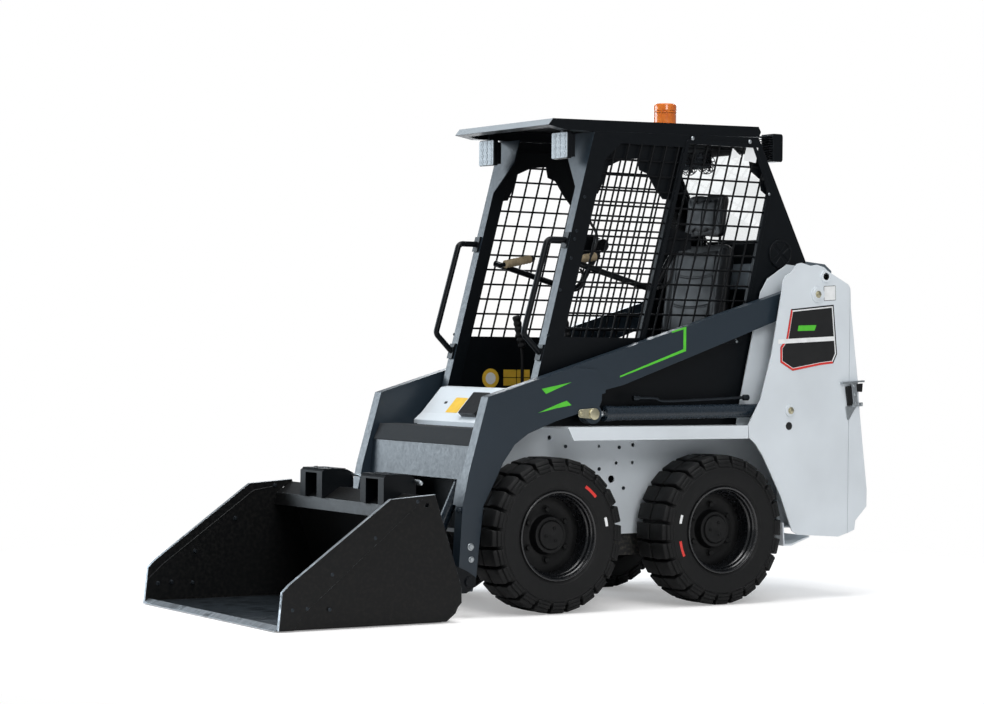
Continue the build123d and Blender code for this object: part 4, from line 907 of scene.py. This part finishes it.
leg_bolts = [hex_bolt(at(425, -355, 262), OUT, 19, 9), hex_bolt(at(425, -352, 215), OUT, 16, 8)]
pair("leg_bolts", leg_bolts, BOLT, "lift_arms")
lock_plate = rounded(from_side([(119, 739), (119, 769), (190, 774), (210, 765), (212, 745), (196, 733)]), 12 * MM)
lock_shells = [pressed(lock_plate, 425.1 * MM, 430 * MM, rim=0.8 * MM), hex_bolt(at(430, 135, 754), OUT, 13, 7),
               spun([(0, 22), (5, 22), (6, 20.5), (6, 0.2)], at(429.2, 191, 752), OUT, 32)]
pair("rod_pin_locks", lock_shells, ZINC, "lift_arms")

FILM = 0.5
strokes = [[(-47, 848), (87, 873), (-28, 829)], [(-63, 757), (23, 775), (89, 786), (66, 803), (23, 789)]]
pair("elbow_strokes", [side_plate(shape, 425.05, 425.05 + FILM) for shape in strokes], GREEN, "lift_arms")
stripe = [(317, 892), (631, 996), (631, 1092), (560, 1072), (562, 1066), (618, 1081), (618, 1003), (317, 898)]
pair("boom_stripe", [side_plate(stripe, 419.05, 419.05 + FILM)], GREEN, "lift_arms")
arm_edge = [(-285, 817.2), (300, 991.5), (880, 1164.5), (1070, 1221)]
pair("boom_top_edge", [edge_strip(arm_edge, 376, 418.5, 0.5)], SLATE, "lift_arms")


# Arms, hull, towers and tail: fasteners, blank plates, stripes and the latch

def boss(y, z, x, radius, height):
    """A turned cover: flat face, rounded rim."""
    profile = [(0, radius), (height * 0.6, radius), (height * 0.9, radius * 0.94), (height, radius * 0.86),
               (height, radius * 0.02)]
    return spun(profile, at(x, y, z), OUT, 40)


leg_washers = []
for side_x in (388, 412):
    leg_washers.append(spun([(0, 9), (2.5, 9), (3, 8), (3, 0.1)], at(side_x, -395.5, 398), (0, -1, 0.03), 20))
pair("leg_front_washers", leg_washers, SLATE, "lift_arms")
front_guard = pressed(np.array([(-258, 300), (258, 300), (258, 694), (-258, 694)]) * MM, -187.4 * MM + AXLE_SHIFT,
                      -185.1 * MM + AXLE_SHIFT, axis=1)
piece("hull_front_guard", front_guard, BLACK)

hull_bolts = [socket_screw(at(262, y, z), OUT, 7, 4) for y, z in ((173, 622), (427, 615), (332, 532), (449, 455))]
pair("hull_bolts", hull_bolts, DARK_BOLT)

TOWER_OUT = 455
pivot_covers = [boss(1301, 1303, TOWER_OUT, 17, 5), boss(1261, 1230, TOWER_OUT, 27, 5),
                boss(1126, 762, TOWER_OUT, 24, 5)]
pivot_screws = [hex_bolt(at(TOWER_OUT + 5, y, z), OUT, 20, 8) for y, z in ((1261, 1230), (1126, 762))]
pair("pivot_covers", pivot_covers, WHITE)
pair("pivot_screws", pivot_screws, ZINC)
# Painted shade: a black film disc stands for the dark inside of the tower's tie hole.
tie_hole_shade = spun([(0.2, 16), (0.8, 16), (1.0, 15), (1.0, 0.1)], at(TOWER_OUT, 1121, 700), OUT, 32)
label_edge = rounded(from_side([(1292, 1264), (1354, 1268), (1356, 1208), (1294, 1204)]), 5 * MM)
panel_corners = [(1125, 1168), (1345, 1190), (1356, 1085), (1366, 990), (1346, 952), (1280, 945), (1136, 921),
                 (1073, 954), (1072, 1015), (1102, 1049)]
panel_edge = from_side(panel_corners)


def film(outline, x, layer=0):
    """A film on the side at X, each layer 0.4 mm above the one below."""
    return pressed(outline, (x + 0.05 + layer * 0.4) * MM, (x + 0.45 + layer * 0.4) * MM)


def around(outline, low, high):
    """A band along a closed outline between two insets, as strips that meet at the corners."""
    outer, inner = inset(outline, low), inset(outline, high)
    count = len(outer)
    return [np.array([outer[i], outer[(i + 1) % count], inner[(i + 1) % count], inner[i]]) for i in range(count)]


pair("tower_dark_film_and_hole_shade", [film(panel_edge, TOWER_OUT), film(label_edge, TOWER_OUT), tie_hole_shade], BLACK_FILM)
white_band = [film(strip, TOWER_OUT, 1) for strip in around(panel_edge, 6 * MM, 11 * MM)]
pair("tower_pale_film", white_band + [film(inset(label_edge, 2 * MM), TOWER_OUT, 1)], PALE)
red_sides = [film(strip, TOWER_OUT, 2) for strip in np.array(around(panel_edge, 0.5 * MM, 9 * MM))[[4, 5, 6, 7, 8, 9]]]
pair("tower_red_stroke", red_sides, RED)
bar = from_side([(1164, 1103), (1256, 1106), (1246, 1084), (1159, 1081)])
crossbar = from_side([(1060, 1046), (1350, 1062), (1348, 1044), (1061, 1028)])
pair("tower_green_bar", [film(bar, TOWER_OUT, 2)], GREEN, slot="white_paint")
pair("tower_pale_bar", [film(crossbar, TOWER_OUT, 3)], PALE)


pipe_line = smooth_line([at(400, y, z) for y, z in ((417, 812), (500, 810), (541, 799), (717, 804), (930, 813))], 8)
pipe_ends = [spun([(0, 9), (3, 12), (24, 12), (27, 9)], at(400, y, z), (0, d, 0), 24)
             for y, z, d in ((392, 812, 1), (930, 813, 1))]
pair("lift_pipes", [tube(pipe_line, 6 * MM)] + pipe_ends, DARK_BOLT, "lift_barrels", slot="cylinder_paint")


latch_plates = [
    side_plate([(1384, 868), (1440, 868), (1440, 875), (1500, 876), (1500, 884), (1384, 876)], 455.5, 472, 1, 1),
    side_plate([(1432, 872), (1458, 873), (1470, 778), (1446, 775)], 462, 469, 1, 3),
    side_plate([(1441, 790), (1499, 794), (1499, 778), (1446, 775)], 455.5, 463, 1, 3),
    side_plate([(1411, 778), (1470, 779), (1430, 722), (1420, 724)], 455.4, 458.5, 1, 5),
]
latch_dark = [
    side_plate([(1408, 858), (1432, 861), (1442, 782), (1420, 780)], 456, 466, 1, 4),
    side_plate([(1459, 868), (1494, 872), (1491, 836), (1462, 838)], 456, 468, 1, 4),
]
latch_rivets = [domed(at(469, y, z), OUT, 5, 2.6) for y, z in ((1446, 862), (1451, 826), (1456, 790))]
latch_rivets += [domed(at(463, y, 785), OUT, 4.5, 2.4) for y in (1476, 1492)]
piece("latch_brackets", latch_plates + latch_rivets, BOLT, "rear_door", ["door_latch"])
piece("latch_lever", latch_dark, KNOB, "rear_door", ["door_latch"])


# Footwell: the cover's blank label, the painted shade of its slot, and its block, the floor knob, the far wall's blank
# labels and the hoses

COVER_FOOT = (-150, 740)
cover_up = unit(np.array([0.0, 90.0, 100.0]))


def on_cover(outline, height=0.6):
    """A piece on the sloping cover: (x, distance up the slope) millimetres from its lower edge."""
    return laid(pressed(rounded(np.asarray(outline, float) * MM, 4 * MM), 0.1 * MM, height * MM, axis=2),
                at(0, *COVER_FOOT), OUT, cover_up)


piece("cover_label", [on_cover([(-112, 6), (-24, 6), (-24, 84), (-112, 84)])], YELLOW, slot="white_paint")
# Painted shade: a black film stands for the dark inside of the cover's slot.
piece("cover_slot_painted_shade", [on_cover([(-172, 50), (-152, 50), (-152, 62), (-172, 62)])], BLACK_FILM, slot="black_paint")
piece("cover_block", [on_cover([(30, -12), (150, -12), (150, 96), (30, 96)], 24)], KNOB)
knob_plate = spun([(0, 34), (4, 34), (5, 32), (5, 11), (16, 9), (20, 13), (34, 14), (38, 10), (39, 0.2)],
                  at(-130, 30, 711.5), UP, 32)
piece("floor_knob", knob_plate, ZINC)
FAR_WALL = -328.8
far_tiles = [side_plate([(y, z), (y + 62, z), (y + 62, z + 31), (y, z + 31)], FAR_WALL, FAR_WALL + 0.6, radius=2)
             for y in (262, 328) for z in (846, 880)]
turn = np.linspace(0, 2 * np.pi, 41)[:-1]
ring_label = np.stack([200 + 40 * np.cos(turn), 875 + 40 * np.sin(turn)], axis=1)
piece("far_wall_tiles", far_tiles, YELLOW)
piece("far_wall_disc", side_plate(ring_label, FAR_WALL, FAR_WALL + 0.6), YELLOW)
piece("far_wall_disc_middle", side_plate((ring_label - (200, 875)) * 0.6 + (200, 875), FAR_WALL + 0.6, FAR_WALL + 1.1),
      PALE, slot="black_paint")


loops = []
for x, line in ((220, ((682, 1404), (721, 1423), (708, 1324), (684, 1262), (635, 1243))),
                (-220, ((563, 1329), (581, 1284), (559, 1246), (515, 1236))),
                (300, ((243, 1501), (280, 1451), (281, 1407), (255, 1359)))):
    loops.append(tube(smooth_line([at(x, y, z) for y, z in line], 8), 5.5 * MM, up=(1, 0, 0)))
piece("cab_hoses", loops, KNOB)


# Hand levers and restraint grips

def grip(start, end, radius, ribs, swell=0.08):
    """A ribbed sleeve: its radius rises and falls as the sine's square, ribs times along it, between rounded ends."""
    start, end = np.asarray(start, float), np.asarray(end, float)
    length = np.linalg.norm(end - start)
    t = np.linspace(0, 1, ribs * 8 + 1)
    r = radius * (1 - swell + swell * np.sin(np.pi * ribs * t) ** 2) * np.clip(np.minimum(t, 1 - t) * 40 + 0.55, 0, 1)
    profile = np.vstack([[0, 0.1 * MM], np.stack([t * length, r], axis=1), [length, 0.1 * MM]])
    return turned(profile, start, end - start, 32)


GRIP_X = 232
grip_front, grip_rear = at(GRIP_X, 176, 1331.6), at(GRIP_X, 342, 1366)
way = unit(grip_rear - grip_front)
foam = [grip(grip_front + way * 24 * MM, grip_rear - way * 18 * MM, 17 * MM, 9)]
ends = [spun([(0, 11), (3, 13), (8, 13), (10, 10)], grip_rear - way * 18 * MM, way, 24)]
pair("restraint_grips", foam, FOAM, "lap_bar", ["lap_grips"], crease=50)
pair("restraint_grip_ends", ends, KNOB, "lap_bar", ["lap_grips"])
boot = [(0, 32), (4, 32), (7, 29)]
for i in range(5):
    boot += [(9 + i * 8, 27 - i * 3.4), (13 + i * 8, 22 - i * 3.4)]
boot += [(50, 9), (50, 7.2)]
lever_parts = [spun(boot, at(170, 250, 711.3), UP, 40)]
stick = smooth_line([at(170, 250, 730), at(170, 251, 860), at(170, 250, 960), at(170, 244, 1010)], 8)
lever_parts.append(tube(stick, 7 * MM))
lever_parts.append(grip(at(170, 250, 1000), at(170, 218, 1130), 17 * MM, 6, 0.14))
pair("hand_levers", lever_parts, KNOB, "chassis", ["levers"], crease=45)


# Seat: pads stuffed by cloth simulation, then sewn

def applied(thing):
    """Points, faces and point normals of an object with its modifiers applied."""
    found = thing.evaluated_get(bpy.context.evaluated_depsgraph_get())
    mesh = bpy.data.meshes.new_from_object(found)
    points, normals = np.empty((2, len(mesh.vertices) * 3), np.float32)
    mesh.vertices.foreach_get("co", points)
    mesh.vertices.foreach_get("normal", normals)
    faces = [list(face.vertices) for face in mesh.polygons]
    bpy.data.meshes.remove(mesh)
    bpy.data.objects.remove(thing)
    return points.reshape(-1, 3).astype(float), faces, normals.reshape(-1, 3).astype(float)


def power(wave, n):
    """The wave's size to the power of 2 / n, with the wave's sign."""
    return np.sign(wave) * np.abs(wave) ** (2 / n)


def soft_block(half, corner=7.0, edge=3.2):
    """A block with rounded edges: a superellipse outline drawn in by a second superellipse over its height."""
    turn = np.linspace(0, 2 * np.pi, 97)[:-1]
    rise = np.linspace(0.03 - np.pi / 2, np.pi / 2 - 0.03, 33)
    ring = np.stack([power(np.cos(turn), corner), power(np.sin(turn), corner)], axis=1)
    flat = power(np.cos(rise), edge)[:, None, None] * ring[None]
    height = np.broadcast_to(power(np.sin(rise), edge)[:, None, None], (*flat.shape[:2], 1))
    return grid(np.concatenate([flat, height], axis=-1) * half, wrap_columns=True, capped=True)


def inflated(shell, voxel, cap):
    """The shell remeshed to even squares and blown up as cloth; the tangent curve holds each point within the cap."""
    thing = loose(shell)
    even = thing.modifiers.new("even", "REMESH")
    even.mode = "VOXEL"
    even.voxel_size = voxel
    points, faces, normals = applied(thing)
    thing = loose((points, faces))
    stuffing = thing.modifiers.new("stuffing", "CLOTH")
    stuffing.settings.use_pressure = True
    stuffing.settings.uniform_pressure_force = 4.0
    stuffing.settings.effector_weights.gravity = 0.0
    stuffing.point_cache.frame_end = 20
    for moment in range(1, 21):
        bpy.context.scene.frame_set(moment)
    blown, faces, normals = applied(thing)
    bpy.context.scene.frame_set(1)
    moved = blown - points
    length = np.maximum(np.linalg.norm(moved, axis=1, keepdims=True), 1e-9)
    return points + moved / length * cap * np.tanh(length / cap), faces


def upholstered(name, node, half, origin, up, bolster, seams, cap=9 * MM, voxel=6 * MM):
    """A pad about the origin: stuffed, fitted to its half size, sides pulled in, bolsters raised, seams sunk.

    Sides come in by the share 0.03 times one less the square of the place along them. The face between the
    bolsters drops by a smooth step. A seam sinks 3.2 mm times the Gaussian of the distance to it over 3.4 mm.
    """
    points, faces = inflated(soft_block(half - 0.6 * cap), voxel, cap)
    thing = loose((points, faces))
    thing.modifiers.new("smooth", "SUBSURF").levels = 1
    points, faces, normals = applied(thing)
    low, high = points.min(axis=0), points.max(axis=0)
    points = (points - low) / (high - low) * 2 - 1
    x, y, z = points.T
    points = points * np.stack([1 - 0.03 * (1 - y ** 2), 1 - 0.03 * (1 - x ** 2), np.ones_like(z)], axis=1) * half
    x, y, z = points.T
    edge = np.clip((np.abs(x) - bolster) / (38 * MM), 0, 1)
    step = edge ** 2 * (3 - 2 * edge)
    face = np.clip(z / half[2] * 1.6, 0, 1)
    points[:, 2] -= face * (1 - step) * 12 * MM
    distance = np.min([np.abs(seam(x, y)) for seam in seams], axis=0)
    top = np.clip(z / half[2] * 4 - 1, 0, 1)
    depth = 3.2 * MM * np.exp(-(distance / (3.4 * MM)) ** 2) * top
    depth += 2.6 * MM * np.exp(-((z - 0.42 * half[2]) / (2.6 * MM)) ** 2)
    depth += 1.8 * MM * np.exp(-((z + 0.5 * half[2]) / (2.6 * MM)) ** 2)
    points -= depth[:, None] * normals
    pad = piece(name, laid((points, faces), origin, OUT, up), VINYL, "chassis", [node], crease=60)


def line_in_x(place):
    """Distance to a pair of seams that run along the pad at a place across it, on both sides."""
    return lambda x, y: np.abs(x) - place


def line_in_y(place, reach):
    """Distance to a seam across the pad, between the bolsters; it bows by 0.8 times the square of the place across."""
    return lambda x, y: np.where(np.abs(x) < reach, y - place - 0.8 * x ** 2, 1.0)


upholstered("seat_cushion_pad", "seat_cushion", np.array([224, 196, 39.5]) * MM, at(0, 787.5, 970.2), (0, 1, 0),
            150 * MM, [line_in_x(142 * MM), line_in_y(-60 * MM, 142 * MM), line_in_y(60 * MM, 142 * MM)])
upholstered("seat_back_pad", "seat_back", np.array([214, 214, 38]) * MM, at(0, 995.0, 1225.0), (0, 55.0, 429.7),
            135 * MM, [line_in_x(128 * MM), line_in_y(-55 * MM, 128 * MM), line_in_y(70 * MM, 128 * MM)])
upholstered("head_rest_pad", "head_rest", np.array([129, 91, 36]) * MM, at(0, 1041.0, 1553.5), (0, 24.0, 183.0),
            88 * MM, [line_in_x(80 * MM), line_in_x(0 * MM)], cap=7 * MM, voxel=5 * MM)


# Studio

CAMERA_PLACE = np.array((8.4793, -5.5174, 1.0170))
CAMERA_AZIMUTH = math.radians(57.672)
CAMERA_PITCH = math.radians(0.1907)
CAMERA_ROLL = math.radians(0.6519)
CAMERA_LENS = 93.65


def aimed(name, data, right, up, back, place):
    """An object whose x, y and z axes are right, up and back, at a place."""
    thing = linked(name, data)
    matrix = np.eye(4)
    matrix[:3] = np.stack([right, up, back, place], axis=1)
    thing.matrix_world = Matrix(matrix.tolist())
    return thing


def studio_camera():
    """The camera's own axes: back along azimuth and pitch, right and up turned by the roll about it."""
    a, e, roll = CAMERA_AZIMUTH, CAMERA_PITCH, CAMERA_ROLL
    back = np.array((math.sin(a) * math.cos(e), -math.cos(a) * math.cos(e), math.sin(e)))
    level = unit(np.cross(-back, (0.0, 0.0, 1.0)))
    above = np.cross(level, -back)
    right = math.cos(roll) * level + math.sin(roll) * above
    up = math.cos(roll) * above - math.sin(roll) * level
    lens = bpy.data.cameras.new("camera")
    lens.lens = CAMERA_LENS
    lens.sensor_width = 36.0
    lens.clip_end = 200.0
    bpy.context.scene.camera = aimed("camera", lens, right, up, back, CAMERA_PLACE)


def softbox(name, place, aim, size, watts, tint=(1.0, 1.0, 1.0)):
    """A rectangular area lamp at a place, facing the aim, that neither the camera nor glass sees."""
    lamp = bpy.data.lights.new(name, "AREA")
    lamp.shape = "RECTANGLE"
    lamp.size, lamp.size_y = size
    lamp.energy = watts
    lamp.color = tint
    back = unit(np.asarray(place, float) - np.asarray(aim, float))
    right = unit(np.cross((0.0, 0.0, 1.0), back))
    thing = aimed(name, lamp, right, np.cross(back, right), back, place)
    thing.visible_camera = False
    thing.visible_transmission = False


def mixed(tree, factor, first, second):
    """The output of two shaders mixed: the first where the factor is zero, the second where it is one."""
    mix = add(tree, "ShaderNodeMixShader", {"Fac": factor})
    tree.links.new(first, mix.inputs[1])
    tree.links.new(second, mix.inputs[2])
    return mix.outputs[0]


def studio_world():
    """Even grey light from all round; the camera sees plain white, through glass as well."""
    world = bpy.data.worlds.new("studio")
    bpy.context.scene.world = world
    world.use_nodes = True
    tree = world.node_tree
    tree.nodes.clear()
    ray = add(tree, "ShaderNodeLightPath")
    seen = add(tree, "ShaderNodeMath", {0: ray.outputs["Is Camera Ray"], 1: ray.outputs["Is Transmission Ray"]},
               operation="MAXIMUM")
    light = add(tree, "ShaderNodeBackground", {"Color": (0.93, 0.96, 1.0, 1.0), "Strength": 0.3})
    white = add(tree, "ShaderNodeBackground", {"Color": (1.0, 1.0, 1.0, 1.0), "Strength": 1.0})
    surface = mixed(tree, seen.outputs["Value"], light.outputs[0], white.outputs[0])
    add(tree, "ShaderNodeOutputWorld", {"Surface": surface})


def studio_floor():
    """A pale floor that reads white to the camera and keeps the machine's shadow."""
    corners = np.array([[(-40, -40, 0), (40, -40, 0)], [(-40, 40, 0), (40, 40, 0)]], float)
    floor = loose(grid(corners), "floor")
    material = bpy.data.materials.new("white_floor")
    material.use_nodes = True
    tree = material.node_tree
    tree.nodes.clear()
    ray = add(tree, "ShaderNodeLightPath")
    place = add(tree, "ShaderNodeTexCoord")
    reach = add(tree, "ShaderNodeVectorMath", {0: place.outputs["Object"]}, operation="LENGTH")
    matt = add(tree, "ShaderNodeBsdfDiffuse", {"Color": (0.80, 0.79, 0.785, 1.0)})
    glow = add(tree, "ShaderNodeEmission", {"Color": (1.0, 1.0, 1.0, 1.0), "Strength": 0.3})
    white = add(tree, "ShaderNodeEmission", {"Color": (1.0, 1.0, 1.0, 1.0), "Strength": 1.0})
    near = add(tree, "ShaderNodeAddShader")
    tree.links.new(matt.outputs[0], near.inputs[0])
    tree.links.new(glow.outputs[0], near.inputs[1])
    far = between(tree, reach.outputs["Value"], 0.0, 1.0, 1.9, 3.2)
    seen = mixed(tree, far, near.outputs[0], white.outputs[0])
    surface = mixed(tree, ray.outputs["Is Camera Ray"], matt.outputs[0], seen)
    add(tree, "ShaderNodeOutputMaterial", {"Surface": surface})
    floor.data.materials.append(material)


bpy.context.scene.view_settings.view_transform = "Standard"
studio_camera()
studio_world()
studio_floor()
softbox("front_box", (-6.2, -4.6, 2.6), (0, -0.3, 1.0), (4.5, 3.6), 360, (0.80, 0.91, 1.0))
softbox("top_box", (0.6, -0.6, 6.0), (0, 0, 0.8), (4.5, 4.5), 330)
softbox("back_box", (-6.0, 4.2, 3.4), (0, 0.2, 1.0), (3.0, 2.6), 170, (0.92, 0.96, 1.0))
softbox("side_box", (7.0, -1.5, 4.6), (0, 0.1, 0.9), (3.0, 3.0), 190)
softbox("low_back_box", (-7.2, 4.4, 0.9), (0, 0.0, 0.6), (5.0, 1.7), 110, (0.92, 0.96, 1.0))
